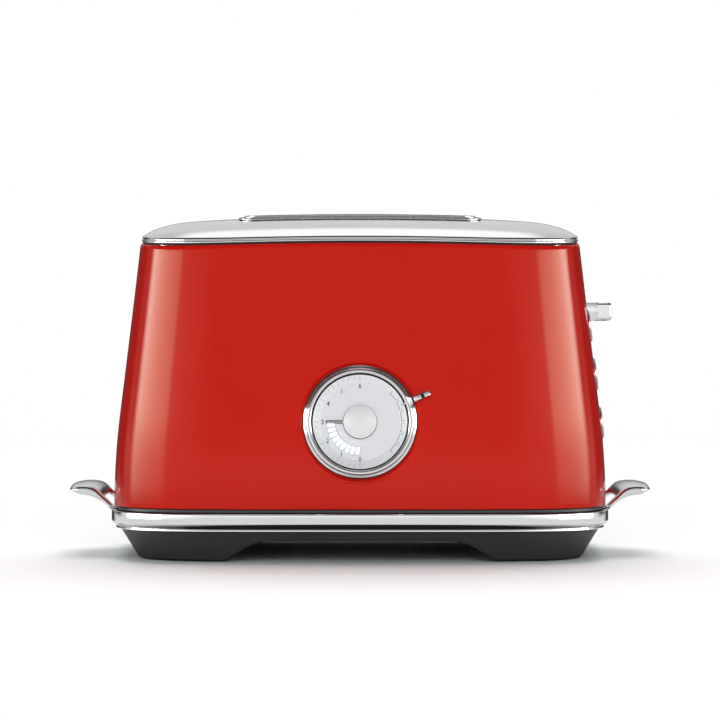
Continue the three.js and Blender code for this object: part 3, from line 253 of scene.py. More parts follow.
def block(half_a, half_b, low, high, corner, edge, steps=4):
    """A flat block: a rounded rectangle from low to high, its upper edge rolled over with a radius."""
    t = np.linspace(0, np.pi / 2, steps + 1)
    rows = []
    for inset, height in [(0.0, low), *zip(edge * (1 - np.cos(t)), high - edge * (1 - np.sin(t)))]:
        ring = rounded_rect(half_a - inset, half_b - inset, max(corner - inset, 0.05))
        rows.append(np.insert(ring, 2, height, axis=1))
    return shut(np.stack(rows))


def linked(name, data):
    """A new object of the scene."""
    made = bpy.data.objects.new(name, data)
    scene.collection.objects.link(made)
    return made


def joined(name, surfaces, closed=True):
    """One object from (points, faces) surfaces, in metres: doubles merged, and closed surfaces turned outward."""
    points, faces, start = [], [], 0
    for part_points, part_faces in surfaces:
        points.append(part_points)
        faces.extend((part_faces + start).tolist())
        start += len(part_points)
    mesh = bpy.data.meshes.new(name)
    mesh.from_pydata((np.concatenate(points) * MM).tolist(), [], faces)
    form = bmesh.new()
    form.from_mesh(mesh)
    bmesh.ops.remove_doubles(form, verts=form.verts, dist=2e-6)
    bmesh.ops.dissolve_degenerate(form, edges=form.edges, dist=1e-7)
    if closed:
        bmesh.ops.recalc_face_normals(form, faces=form.faces)
        if form.calc_volume(signed=True) < 0:
            bmesh.ops.reverse_faces(form, faces=form.faces)
    form.to_mesh(mesh)
    form.free()
    return linked(name, mesh)


def piece(name, surfaces, look, body, replaced=(), wall=0.0, sharp=35, cutters=(), closed=True):
    """One piece from its surfaces, given a wall and holes, a finish, the body it rides on and the nodes it shows."""
    made = joined(name, surfaces, closed)
    if wall:
        solidify = made.modifiers.new("wall", "SOLIDIFY")
        solidify.thickness, solidify.offset = wall * MM, -1.0
        solidify.use_even_offset = True
    for cutter in cutters:
        hole = made.modifiers.new("hole", "BOOLEAN")
        hole.object, hole.operation, hole.solver = cutter, "DIFFERENCE", "EXACT"
    if made.modifiers:
        graph = bpy.context.evaluated_depsgraph_get()
        raw, made_mesh = made.data, bpy.data.meshes.new_from_object(made.evaluated_get(graph))
        made.modifiers.clear()
        made.data = made_mesh
        bpy.data.meshes.remove(raw)
    for cutter in cutters:
        bpy.data.objects.remove(cutter)
    made.data.name = name
    made.data.polygons.foreach_set("use_smooth", np.ones(len(made.data.polygons), bool))
    made.data.set_sharp_from_angle(angle=np.radians(sharp))
    made.data.materials.clear()
    made.data.materials.append(look)
    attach(made, body)
    if replaced:
        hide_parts(*replaced)
    return made


def bore_cutter(x, other, radius, ends, sides=40, lying=False):
    """A closed cylinder that only cuts a hole: upright at x and y, or lying along y at x and z."""
    turn = np.linspace(0, 2 * np.pi, sides, endpoint=False)
    ring = np.stack([x + radius * np.cos(turn), other + radius * np.sin(turn)], 1)
    grid = np.stack([np.insert(ring, 1 if lying else 2, end, axis=1) for end in ends])
    return joined("cutter", [sheet(shut(grid), around=True)])


def box_cutter(low, high):
    """A closed box that only cuts a hole."""
    x, y = [low[0], high[0], high[0], low[0]], [low[1], low[1], high[1], high[1]]
    grid = np.array([np.stack([x, y, [z] * 4], 1) for z in (low[2], high[2])])
    return joined("cutter", [sheet(shut(grid), around=True)])


# Finishes

class Wire:
    """A node's output with the operators that the finishes use; each adds one Math node."""

    def __init__(self, finish, socket):
        self.finish, self.socket = finish, socket

    def maths(self, operation, *values):
        """One Math node of these values or links."""
        return self.finish.node("ShaderNodeMath", {"operation": operation}, dict(enumerate(values)))

    def __add__(self, other): return self.maths("ADD", self, other)
    def __sub__(self, other): return self.maths("SUBTRACT", self, other)
    def __rsub__(self, other): return self.maths("SUBTRACT", other, self)
    def __mul__(self, other): return self.maths("MULTIPLY", self, other)
    def __pow__(self, other): return self.maths("POWER", self, other)
    def __gt__(self, other): return self.maths("GREATER_THAN", self, other)
    __radd__, __rmul__ = __add__, __mul__

    def between(self, low, high):
        """0 below low, 1 above high and straight between them."""
        return self.finish.node("ShaderNodeMapRange", {}, {0: self, 1: low, 2: high, 3: 0.0, 4: 1.0})


class Finish:
    """A material or a world: one method adds any node, and `surface` sets a material's shader."""

    def __init__(self, name, world=None):
        self.material = world or bpy.data.materials.new(name)
        self.material.use_nodes = True
        self.tree = self.material.node_tree
        self.tree.nodes.clear()
        self.place = self.node("ShaderNodeTexCoord", output=0 if world else 3)

    def node(self, kind, settings=None, values=None, output=0):
        """A node of a type: its settings first, then its inputs' values or links; gives one output, if it has any."""
        made = self.tree.nodes.new(kind)
        for name, value in (settings or {}).items():
            setattr(made, name, value)
        for name, value in (values or {}).items():
            self.fill(made.inputs[name], value)
        return Wire(self, made.outputs[output]) if made.outputs else None

    def fill(self, socket, value):
        """Links or sets one input; a colour may be given without its alpha."""
        if isinstance(value, Wire):
            self.tree.links.new(value.socket, socket)
        elif isinstance(value, tuple) and len(value) == 3 and socket.type == "RGBA":
            socket.default_value = (*value, 1)
        else:
            socket.default_value = value

    def mix(self, share, first, second):
        """A colour between two, by a share."""
        return self.node("ShaderNodeMix", {"data_type": "RGBA"}, {0: share, 6: first, 7: second}, output=2)

    def noise(self, scale, detail=2.0, stretch=None):
        """Noise in the object's own metres, stretched along its axes where a finish runs one way."""
        place = self.place
        if stretch:
            place = self.node("ShaderNodeMapping", {}, {0: place, 3: stretch})
        return self.node("ShaderNodeTexNoise", {}, {"Vector": place, "Scale": scale, "Detail": detail})

    def dial_radius(self):
        """The distance from the dial's middle, in millimetres."""
        middle = tuple(dial_frame[3] * MM)
        shifted = self.node("ShaderNodeVectorMath", {"operation": "SUBTRACT"}, {0: self.place, 1: middle})
        return self.node("ShaderNodeVectorMath", {"operation": "LENGTH"}, {0: shifted}, output=1) * 1000.0

    def bump(self, height, distance, strength=1.0):
        """A Bump node's normal from a height."""
        return self.node("ShaderNodeBump", {}, {"Height": height, "Distance": distance, "Strength": strength})

    def axis(self, which):
        """The object's own x, y or z in metres."""
        return self.node("ShaderNodeSeparateXYZ", {}, {0: self.place}, output="xyz".index(which))

    def surface(self, **values):
        """The material, with a Principled shader of these inputs."""
        inputs = {name.replace("_", " "): value for name, value in values.items()}
        self.node("ShaderNodeOutputMaterial", {}, {0: self.node("ShaderNodeBsdfPrincipled", {}, inputs)})
        return self.material


def grained(name, grain, dark, light, rough, relief=0.0, span=None, **values):
    """A finish whose colour, roughness and relief all follow one noise.

    Grain is the noise's scale, detail and stretch, and rough is how much it adds to which roughness. The colour goes
    from dark to light over a span of the noise, where one is given, and relief is the bump's height in metres.
    """
    f = Finish(name)
    noise = f.noise(*grain)
    share = noise.between(*span) if span else noise
    if relief:
        values["Normal"] = f.bump(noise, relief)
    return f.surface(Base_Color=f.mix(share, dark, light), Roughness=noise * rough[0] + rough[1], **values)


def paint_finish():
    """Gloss enamel whose sheen is a little warm: a faint cloud in its depth, orange peel, and dust-fine flecks."""
    f = Finish("gloss_red_paint")
    cloud = f.noise(14.0, 3.0)
    peel = f.noise(420.0, 2.0)
    fleck = f.noise(2600.0, 1.0) > 0.72
    colour = f.mix(cloud.between(0.35, 0.65), (0.530, 0.0085, 0.0048), (0.548, 0.0100, 0.0058))
    return f.surface(
        Base_Color=f.mix(fleck * 0.1, colour, (0.62, 0.02, 0.012)), Roughness=peel * 0.02 + 0.11,
        IOR=1.31, Specular_Tint=(0.84, 0.92, 0.66), Normal=f.bump(peel, 0.000004))


def chrome_finish():
    """Polished plate: a very low roughness with faint clouds and hair scratches in the polish."""
    f = Finish("polished_chrome")
    cloud = f.noise(36.0, 3.0)
    hairs = f.noise(60.0, 3.0, (1.0, 28.0, 28.0))
    return f.surface(
        Base_Color=f.mix(cloud.between(0.3, 0.7), (0.86, 0.865, 0.875), (0.90, 0.90, 0.905)), Metallic=1.0,
        Roughness=cloud.between(0.3, 0.8) * 0.02 + hairs.between(0.5, 0.8) * 0.02 + 0.035,
        Normal=f.bump(f.noise(240.0, 2.0), 0.0000012))


def spun_finish():
    """Satin metal spun about the dial's axis: fine rings in its colour, roughness and relief."""
    f = Finish("spun_silver")
    along = {"W": f.dial_radius() * 2.6, "Scale": 1.0, "Detail": 2.0}
    rings = f.node("ShaderNodeTexNoise", {"noise_dimensions": "1D"}, along)
    return f.surface(
        Base_Color=f.mix(rings, (0.70, 0.705, 0.715), (0.84, 0.84, 0.85)), Metallic=1.0,
        Roughness=rings * 0.1 + 0.16, Normal=f.bump(rings, 0.000004))


def plastic_finish():
    """Moulded dark plastic with a fine spark-eroded grain, and slightly duller patches."""
    f = Finish("dark_moulded_plastic")
    grain = f.node("ShaderNodeTexVoronoi", {}, {"Vector": f.place, "Scale": 1500.0})
    patch = f.noise(22.0, 3.0)
    return f.surface(
        Base_Color=f.mix(patch, (0.034, 0.035, 0.037), (0.046, 0.047, 0.049)), Roughness=patch * 0.12 + 0.36,
        Specular_IOR_Level=0.45, Normal=f.bump(grain, 0.000035, 0.7))


def steel_finish():
    """Plain rolled sheet and wire: rolling streaks, and light brown heat stain in clouds."""
    f = Finish("plain_steel")
    streak = f.noise(120.0, 4.0, (1.0, 1.0, 18.0))
    stain = f.noise(26.0, 4.0).between(0.52, 0.75)
    colour = f.mix(streak, (0.36, 0.37, 0.38), (0.50, 0.505, 0.51))
    return f.surface(
        Base_Color=f.mix(stain * 0.5, colour, (0.34, 0.28, 0.21)), Metallic=1.0, Roughness=streak * 0.16 + 0.28,
        Normal=f.bump(streak, 0.00001))


def mica_finish():
    """Pressed mica: flakes of slightly different tone, a silky gloss, and browner where it has been hot."""
    f = Finish("pressed_mica")
    flake = f.node("ShaderNodeTexVoronoi", {}, {"Vector": f.place, "Scale": 420.0}, output=1)
    tone = f.node("ShaderNodeSeparateColor", {}, {0: flake})
    hot = f.noise(18.0, 3.0).between(0.4, 0.75)
    colour = f.mix(tone, (0.40, 0.35, 0.27), (0.56, 0.51, 0.42))
    return f.surface(
        Base_Color=f.mix(hot * 0.5, colour, (0.36, 0.26, 0.16)), Roughness=tone * 0.2 + 0.3,
        Normal=f.bump(tone, 0.00002))


def circuit_finish():
    """Green lacquer over copper tracks: tracks a little lighter and raised, with a glossy coat."""
    f = Finish("green_circuit_board")
    cell = f.node("ShaderNodeTexVoronoi", {"feature": "DISTANCE_TO_EDGE"}, {"Vector": f.place, "Scale": 260.0})
    track = 1 - cell.between(0.05, 0.09)
    return f.surface(
        Base_Color=f.mix(track, (0.010, 0.115, 0.042), (0.024, 0.20, 0.075)), Roughness=0.35,
        Coat_Weight=0.5, Coat_Roughness=0.15, Normal=f.bump(track, 0.00003))


def copper_finish():
    """Lacquered copper wire wound in rings round an upright core."""
    f = Finish("copper_winding")
    waves = {"bands_direction": "Z", "wave_profile": "SIN"}
    wire = f.node("ShaderNodeTexWave", waves, {"Vector": f.place, "Scale": 420.0})
    return f.surface(
        Base_Color=f.mix(wire, (0.25, 0.07, 0.02), (0.55, 0.19, 0.06)), Metallic=0.85, Roughness=0.32,
        Normal=f.bump(wire, 0.0001))


def print_finish(name, dark, light):
    """Screen-printed ink: a tone with a little mottle."""
    return grained(name, (2200.0, 2.0), dark, light, (0.1, 0.45))


def lit_finish():
    """Lamps behind the disc: white light with a faint bluish mottle."""
    f = Finish("lit_window")
    glow = f.noise(900.0, 1.0)
    return f.surface(
        Base_Color=(0.9, 0.95, 1.0), Roughness=0.3, Emission_Strength=0.75,
        Emission_Color=f.mix(glow, (0.88, 0.95, 1.0), (1.0, 1.0, 1.0)))


def glow_finish():
    """Faint bluish light in the disc, fading out across the ring of windows and past its two ends."""
    f = Finish("lit_glow")
    radius = f.dial_radius()
    side = f.axis("x") * -1000.0
    down = (f.axis("z") - DIAL_Z * MM) * -1000.0
    share = radius.between(12.2, 14.4) * (1 - radius.between(16.8, 18.8))
    share = share * side.between(-1.2, 1.2) * down.between(0.2, 2.6)
    return f.surface(Base_Color=(0.74, 0.81, 0.88), Roughness=0.4, Alpha=share * 0.6,
                     Emission_Color=(0.86, 0.94, 1.0), Emission_Strength=0.03)


finishes = {
    "body_paint": paint_finish(), "chrome": chrome_finish(), "dark_plastic": plastic_finish(),
    "steel": steel_finish(), "mica": mica_finish(), "circuit": circuit_finish(), "copper": copper_finish(),
    # Satin metal with fine streaks along the toaster
    "brushed_silver": grained("brushed_silver", (90.0, 4.0, (1.0, 40.0, 40.0)), (0.40, 0.405, 0.415),
                              (0.56, 0.565, 0.575), (0.14, 0.2), 0.000008, Metallic=1.0),
    # Matt rubber with a fine bloom
    "rubber": grained("matt_rubber", (300.0, 4.0), (0.010, 0.010, 0.010), (0.024, 0.024, 0.024), (0.15, 0.68),
                      0.00004, Specular_IOR_Level=0.3),
    # Oxidised heating strip: dull grey brown with bluish scale
    "heater_ribbon": grained("oxidised_ribbon", (500.0, 4.0), (0.20, 0.17, 0.16), (0.34, 0.31, 0.31), (0.2, 0.42),
                             0.00001, Metallic=0.8),
    # Pale satin lacquer with a very fine sparkle
    "dial_white": grained("dial_satin_white", (3000.0, 1.0), (0.72, 0.74, 0.765), (0.80, 0.815, 0.835),
                          (0.1, 0.33), 0.000004, (0.4, 0.75), Metallic=0.15, Specular_IOR_Level=0.5),
    # Milky clear plastic that spreads light
    "clear_plastic": grained("milky_clear_plastic", (200.0, 3.0), (0.86, 0.89, 0.92), (0.93, 0.95, 0.97),
                             (0.1, 0.18), Coat_Weight=0.4, Coat_Roughness=0.06),
}
# Plated casting for the handles: softer than sheet plate, with a slow ripple from polishing by hand
cast = grained("polished_casting", (55.0, 3.0), (0.80, 0.805, 0.81), (0.86, 0.86, 0.865), (0.06, 0.13), 0.00001,
               (0.3, 0.7), Metallic=1.0)
# Bead-blasted silver lacquer for the knob: a soft even sheen with a very fine grain
lacquer = grained("satin_silver_lacquer", (2400.0, 2.0), (0.76, 0.76, 0.765), (0.82, 0.82, 0.825), (0.1, 0.45),
                  0.000004, (0.35, 0.65), Metallic=0.05, Specular_IOR_Level=0.3)
spun = spun_finish()
ink = print_finish("dial_ink", (0.075, 0.08, 0.09), (0.11, 0.115, 0.125))
# Paler ink for one numeral: a painted highlight, the glare over the dial's upper left
highlight_pale_ink = print_finish("painted_highlight_dial_ink", (0.36, 0.38, 0.40), (0.42, 0.44, 0.46))
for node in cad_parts.values():
    for place in node.material_slots:
        place.material = finishes[place.material.name.split(".")[0]]
paint, chrome, brushed, plastic, steel, rubber, white = (finishes[kind] for kind in (
    "body_paint", "chrome", "brushed_silver", "dark_plastic", "steel", "rubber", "dial_white"))


# Body shell: one skin from foot to seam, with blocks left out round the dial, the buttons and the lever's slot

FOOT_ROLL, SHOULDER = 0.6, 2.3


def wall_point(z, turn):
    """The wall at a height and a turn: the outline, leaned in, with its foot and shoulder rounded."""
    share = np.clip((z - BODY_FOOT_Z) / FOOT_ROLL, 0, 1)
    foot = FOOT_ROLL * (1 - np.sqrt(np.clip(1 - (1 - share) ** 2, 0, 1)))
    near = np.clip(1 - (BODY_TOP_Z - z) / SHOULDER, 0, 1)
    shoulder = 1.0 * (1 - np.sqrt(np.clip(1 - near ** 2.2, 0, 1)))
    x, y = outline(turn, wall_drop(z) + foot + shoulder)
    return np.stack([x, y, z + 0 * x], -1)


def lift_to_seam(points):
    """The skin's heights stretched so that its flat top follows the arched seam, more near the top."""
    x, y, z = points[..., 0], points[..., 1], points[..., 2]
    share = np.clip((z - BODY_FOOT_Z) / (BODY_TOP_Z - BODY_FOOT_Z), 0, 1)
    rise = (seam_z(x, y) - SEAM_Z) * share ** 6
    return np.stack([x, y, z + rise], -1)


def on_wall(points, front):
    """Points laid on the wall: the front one by their x and z, or the right one by their y and z."""
    x, y, z = points[..., 0], points[..., 1], points[..., 2]
    half_x, half_y = HALF_X - wall_drop(z), HALF_Y - wall_drop(z)
    if front:
        return np.stack([x, -half_y * reach_at(x / half_x), z], -1)
    return np.stack([half_x * reach_at(y / half_y), y, z], -1)


def wall_rays(boundary, mouth, count, front):
    """Rings on the wall from a block's boundary straight to a mouth's edge, closer together near the mouth."""
    share = (1 - (1 - np.linspace(0, 1, count)) ** 1.4)[:, None, None]
    return on_wall(boundary[None] * (1 - share) + mouth[None] * share, front)


def rolled_opening(boundary, mouth, front, placed, profile):
    """Surface from a block's boundary to a round opening: rays along the wall, then a turned-in profile.

    The profile gives how far inside the mouth and how far out along the frame's axis each further ring lies.
    """
    rings = [wall_rays(boundary, mouth, 10, front)]
    local = (rings[0][-1] - placed[3]) @ placed[:3].T
    radius = np.hypot(local[:, 0], local[:, 1])[:, None]
    unit = local[:, :2] / radius
    for inside, height in profile:
        rings.append(in_frame(np.insert(unit * (radius - inside), 2, height, axis=1), placed)[None])
    return np.concatenate(rings)


def rolled_slot(edge):
    """Surface from a block's boundary to the lever's slot: rays along the wall, then a rolled edge of 0.5 mm."""
    roll = 0.5
    half_y, half_z = LEVER_SLOT_HALF_Y + roll, LEVER_SLOT_HALF_Z + roll
    mouth = slot_mouth(edge, half_y, half_z)
    rings = [wall_rays(edge, mouth, 8, False)]
    for a in np.linspace(0, np.pi / 2, 6)[1:]:
        inner = mouth.copy()
        inner[:, 1] -= np.clip(inner[:, 1] / half_y, -1, 1) * (roll * np.sin(a))
        inner[:, 2] -= np.clip((inner[:, 2] - LEVER_SLOT_Z) / half_z, -1, 1) * (roll * np.sin(a))
        inner = on_wall(inner, False)
        inner[:, 0] -= roll * (1 - np.cos(a))
        rings.append(inner[None])
    return np.concatenate(rings)


def shell_skin():
    """The body's outer skin as surfaces: the grid without its blocks, and the blocks with their recesses."""
    turns = even_turns(400)
    rolled_z, shoulder_z = BODY_FOOT_Z + FOOT_ROLL, BODY_TOP_Z - SHOULDER
    heights = np.concatenate([
        np.linspace(BODY_FOOT_Z, rolled_z, 4), np.linspace(rolled_z, shoulder_z, 78)[1:-1],
        BODY_TOP_Z - SHOULDER * (1 - np.linspace(0, 1, 12)) ** 1.7])
    grid = wall_point(heights[:, None], turns[None])
    keep = np.ones((len(heights) - 1, len(turns)), bool)

    def cut_block(centre, front, reach_a, reach_z):
        """Leaves a block out of the grid and gives its boundary."""
        rows, columns = block_span(grid, heights, centre, front, reach_a, reach_z)
        keep[rows[0]:rows[1], columns[:-1]] = False
        return block_edge(grid, rows, columns)

    # Reach of the block, then the recess: its mouth's radius, depth, floor's radius, rolled edge and wall's lean
    dial_recess = (33.6, 31.6, 0.55, 28.275, 0.45, 0.6)
    button_recess = (11.6, 9.8, 2.4, 7.9, 0.35, 0.9)
    recesses = [(True, dial_frame, dial_recess)] + [(False, button_frames[name], button_recess) for name in BUTTONS]
    surfaces = []
    for front, placed, (reach, mouth_radius, depth, floor_radius, roll, wall_in) in recesses:
        edge = cut_block(placed[3], front, reach, reach)
        local = (edge - placed[3]) @ placed[:3].T
        unit = local[:, :2] / np.linalg.norm(local[:, :2], axis=1, keepdims=True)
        mouth = in_frame(np.insert(unit * (mouth_radius + roll), 2, 0.0, axis=1), placed)
        t = np.linspace(0, np.pi / 2, 6)[1:]
        profile = [(roll * np.sin(a), -roll * (1 - np.cos(a))) for a in t]
        profile += [(wall_in, -depth), (mouth_radius + roll - floor_radius, -depth)]
        surfaces.append(sheet(lift_to_seam(rolled_opening(edge, mouth, front, placed, profile)), around=True))
    slot_edge = cut_block(np.array([0, 0, LEVER_SLOT_Z]), False, 7.5, 33.5)
    surfaces.append(sheet(lift_to_seam(rolled_slot(slot_edge)), around=True))
    points, faces = sheet(lift_to_seam(grid), around=True)
    return [(points, faces.reshape(len(heights) - 1, len(turns), 4)[keep]), *surfaces]


def block_span(grid, heights, centre, front, reach_a, reach_z):
    """The grid's rows and columns round a place on the wall, at least the reaches away on each side."""
    row = grid[np.argmin(np.abs(heights - centre[2]))]
    along, facing = (0, row[:, 1] < 0) if front else (1, row[:, 0] > 0)
    columns = np.where(facing & (np.abs(row[:, along] - centre[along]) <= reach_a))[0]
    columns = np.arange(columns.min() - 1, columns.max() + 2)
    rows = np.where(np.abs(heights - centre[2]) <= reach_z)[0]
    return (rows.min() - 1, rows.max() + 1), columns


def block_edge(grid, rows, columns):
    """A block's boundary points in order: along its foot, up, back along its top, and down."""
    low, high = rows
    foot = grid[low, columns]
    right = grid[low + 1:high, columns[-1]]
    top = grid[high, columns[::-1]]
    left = grid[low + 1:high, columns[0]][::-1]
    return np.concatenate([foot, right, top, left])


def slot_mouth(edge, half_y, half_z):
    """The lever's slot: each boundary point drawn onto an upright rectangle with corners of 1.2 mm."""
    y, z = edge[:, 1], edge[:, 2] - LEVER_SLOT_Z
    y, z = onto_slot(y / np.abs(y).max(), z / np.abs(z).max(), half_y, half_z, 1.2)
    return np.stack([edge[:, 0], y, z + LEVER_SLOT_Z], 1)


piece("body_skin", shell_skin(), paint, "housing", ["body_shell"], wall=1.7, sharp=50)


# Lid: a beaded edge over the seam, the dome, and two holes with a satin surround in each

RING_TURNS = even_turns(360)
LID_THICK = 1.2
HOLE_MARGIN = 1.6


def lid_ring(inset, lift, over_dome=False):
    """A ring round the lid at an inset from the seam line, lifted over the seam or over the dome's full shoulder."""
    x, y = outline(RING_TURNS, TOP_INSET + inset)
    rise = dome_rise(inset + 1.6 * max(0.0, 1 - inset / 26)) if over_dome else 0.0
    return np.stack([x, y, seam_z(x, y) + rise + lift], -1)


def lid_half(side):
    """Half of the lid's crown round its slot's hole: rays from its edge to the hole, then back underneath."""
    ring = lid_ring(28.0, 0.0, True)
    on_side = side * ring[:, 1] > -0.001
    order = np.argsort(np.where(on_side, side * ring[:, 0], np.inf))
    arc = ring[order[:int(on_side.sum())]]
    arc[[0, -1], 1] = 0.0
    line_x = np.linspace(arc[-1, 0], arc[0, 0], 81)[1:-1]
    edge = np.concatenate([arc, np.stack([line_x, 0 * line_x, 0 * line_x], 1)])
    centre_y = side * SLOT_Y
    off = edge[:, 1] - centre_y
    hole_x, hole_y = onto_slot(
        edge[:, 0] / np.abs(edge[:, 0]).max(), off / np.where(off > 0, off.max(), -off.min()),
        SLOT_HALF_X + HOLE_MARGIN, SLOT_HALF_Y + HOLE_MARGIN, SLOT_CORNER + HOLE_MARGIN)
    share = np.linspace(0, 1, 9)[:, None]
    x = edge[:, 0] * (1 - share) + hole_x * share
    y = edge[:, 1] * (1 - share) + (hole_y + centre_y) * share
    top = np.stack([x, y, lid_top(x, y)], -1)
    return np.concatenate([top, top[::-1] - [0, 0, LID_THICK]])


def lid_surfaces():
    """The lid's closed skin: under the dome, down the skirt, out over the seam, round the bead and up the dome."""
    rows = [lid_ring(d, -LID_THICK, True) for d in (28.0, 23.5, 19.5, 15.5, 12.0, 9.0, 6.5, 4.6)]
    rows += [lid_ring(*p) for p in [
        (4.5, -1.0), (4.5, -4.0), (3.3, -4.0), (3.3, 0.15), (3.1, 0.3), (2.4, 0.35), (1.2, 0.35), (0.82, 0.43),
        (0.6, 0.6), (0.5, 0.9), (0.52, 1.25), (0.64, 1.55), (0.84, 1.72), (1.08, 1.78), (1.18, 1.86), (1.08, 1.98),
        (0.94, 2.1), (0.86, 2.26), (0.87, 2.46), (0.92, 2.68), (1.0, 2.88), (1.12, 3.08), (1.28, 3.28), (1.46, 3.47)]]
    rows += [lid_ring(d, 0, True) for d in [
        1.66, 2.1, 2.6, 3.2, 3.9, 4.7, 5.6, 6.6, 7.7, 9.0, 10.5, 12.0, 13.7, 15.5, 17.5, 19.5, 21.5, 23.5, 25.7, 28.0]]
    surfaces = [sheet(np.stack(rows), around=True)]
    return surfaces + [sheet(lid_half(side), around=True) for side in (-1, 1)]


piece("domed_lid", lid_surfaces(), chrome, "housing", ["lid_cover"], sharp=40)
# Painted shadow: a dark rubber ring in the seam under the lid's bead, standing in for the shade in the gap between lid
# and body
seam_shadow_rows = [lid_ring(*p) for p in [(1.15, -0.55), (1.15, 0.32), (3.1, 0.22), (3.1, -0.55)]]
piece("lid_seam_shadow_ring", [sheet(np.stack(seam_shadow_rows), True, True)], rubber, "housing")


def slot_path(offset):
    """A slot's outline at a distance out: quarter circles at its corners and even points on its sides."""
    radius = SLOT_CORNER + offset
    in_x, in_y = SLOT_HALF_X - SLOT_CORNER, SLOT_HALF_Y - SLOT_CORNER
    arc = np.linspace(0, np.pi / 2, 9)
    long_side, short_side = np.linspace(1, -1, 34)[1:-1], np.linspace(1, -1, 10)[1:-1]
    parts = []
    for quarter, (sx, sy) in enumerate([(1, 1), (-1, 1), (-1, -1), (1, -1)]):
        turn = arc + quarter * np.pi / 2
        parts.append(np.stack([sx * in_x + radius * np.cos(turn), sy * in_y + radius * np.sin(turn)], 1))
        if sx == sy:
            parts.append(np.stack([sx * long_side * in_x, 0 * long_side + sy * (in_y + radius)], 1))
        else:
            parts.append(np.stack([0 * short_side + sx * (in_x + radius), sy * short_side * in_y], 1))
    return np.concatenate(parts)


def surround(side):
    """A slot's surround: a rounded lip, a wall down into the slot and a flange on the lid, in one closed section."""
    section = rounded([
        (0.0, -6.0, 0), (0.0, 1.8, 0.45), (1.3, 1.8, 0.45), (1.3, 1.0, 0.3), (4.3, 1.0, 0.35), (4.3, 0.3, 0.1),
        (1.3, 0.3, 0), (1.3, -6.0, 0)], 5)
    rows = []
    for offset, lift in section:
        path = slot_path(offset)
        x, y = path[:, 0], path[:, 1] + side * SLOT_Y
        rows.append(np.stack([x, y, lid_top(x, y) + lift], 1))
    return [sheet(np.stack(rows), around=True, closed=True)]


piece("slot_trim_front", surround(-1), brushed, "housing", ["slot_surround_front"])
piece("slot_trim_rear", surround(1), brushed, "housing", ["slot_surround_rear"])


# Base: band, tray front, rim and skirt

BAND_FOOT_Z, BAND_TOP_Z = 17.0, 26.7
# The band's outer side as insets, heights and radii: round top, upright face, a slope under it and a thin lip
BAND_FACE = [(-1.4, BAND_TOP_Z, 0.8), (-1.4, 21.0, 1.0), (-0.7, 19.9, 0.4), (1.3, 18.0, 0.12), (1.0, 17.85, 0.12),
             (0.95, BAND_FOOT_Z, 0.35)]


def band_surfaces():
    """The band from one side of the tray's front round to the other; every line ends at the same x."""
    section = rounded([(4.6, BAND_TOP_Z, 0), *BAND_FACE, (4.6, BAND_FOOT_Z, 0)], 6)
    share = even_turns(420)

    def end(inset):
        """The turn at which the outline at an inset reaches the gap's x."""
        return np.arccos((BAND_GAP_X / (HALF_X - inset)) ** 2.5)

    base_end = end(0.0)
    turn = np.unique(np.concatenate([share - 2 * np.pi, share]))
    turn = turn[(turn > -np.pi - base_end) & (turn < base_end)]
    turn = np.concatenate([[-np.pi - base_end], turn, [base_end]])
    rings = []
    for inset, z in section:
        fit = end(inset) / base_end
        bent = np.where(turn > 0, turn * fit, np.where(turn < -np.pi, -np.pi + (turn + np.pi) * fit, turn))
        x, y = outline(bent, inset)
        rings.append(np.stack([x, y, 0 * x + z], 1))
    return [sheet(shut(np.stack(rings, 1)), around=True)]


def tray_front():
    """The tray's front: the band's face between its ends, with a flat back, and a rounded pull under its top."""
    x = np.linspace(-67.7, 67.7, 70)
    back_y = 87.3
    rings = []
    for inset, z in rounded(BAND_FACE, 6):
        y = (HALF_Y - inset) * reach_at(x / (HALF_X - inset))
        rings.append(np.stack([x, np.maximum(y, back_y + 0.2), 0 * x + z], 1))
    rings += [np.stack([x, 0 * x + back_y, 0 * x + z], 1) for z in (BAND_FOOT_Z, BAND_TOP_Z)]
    face = sheet(shut(np.stack(rings, 1)), around=True)
    pull = block(30.0, 1.1, 88.0, 95.4, 0.9, 0.9)
    pull = np.stack([pull[..., 0], pull[..., 2], pull[..., 1] + 24.9], -1)
    return [face, sheet(pull, around=True)]


def ring_row(turns, inset, z):
    """A ring round the outline at an inset and a height; either may vary along it."""
    return np.stack([*outline(turns, inset), 0 * turns + z], -1)


piece("polished_band", band_surfaces(), chrome, "housing", ["base_band"], sharp=45)
piece("tray_pull_front", tray_front(), chrome, "tray", ["crumb_tray_front"], sharp=45)
rim_rows = [ring_row(even_turns(320), *place) for place in rounded(
    [(7.7, RIM_FOOT_Z, 0), (1.7, RIM_FOOT_Z, 0.3), (1.7, 28.8, 0.45), (7.7, 28.8, 0)], 4)]
piece("dark_rim", [sheet(np.stack(rim_rows), True, True)], plastic, "housing", ["base_rim"])

FOOT_Z, SKIRT_TOP_Z, SKIRT_TOP_INSET = 0.7, 16.7, 3.3
arch_line = quadratic(np.linspace(0, 1, 60)[:, None], [76.43, -3.0], [60.67, 11.5], [49.33, 11.5])


def underside(x):
    """The skirt's lowest edge: flat under the feet and curved up to the arch between them."""
    rise = np.interp(-np.abs(x), -arch_line[:, 0], arch_line[:, 1])
    return np.maximum(rise, FOOT_Z)


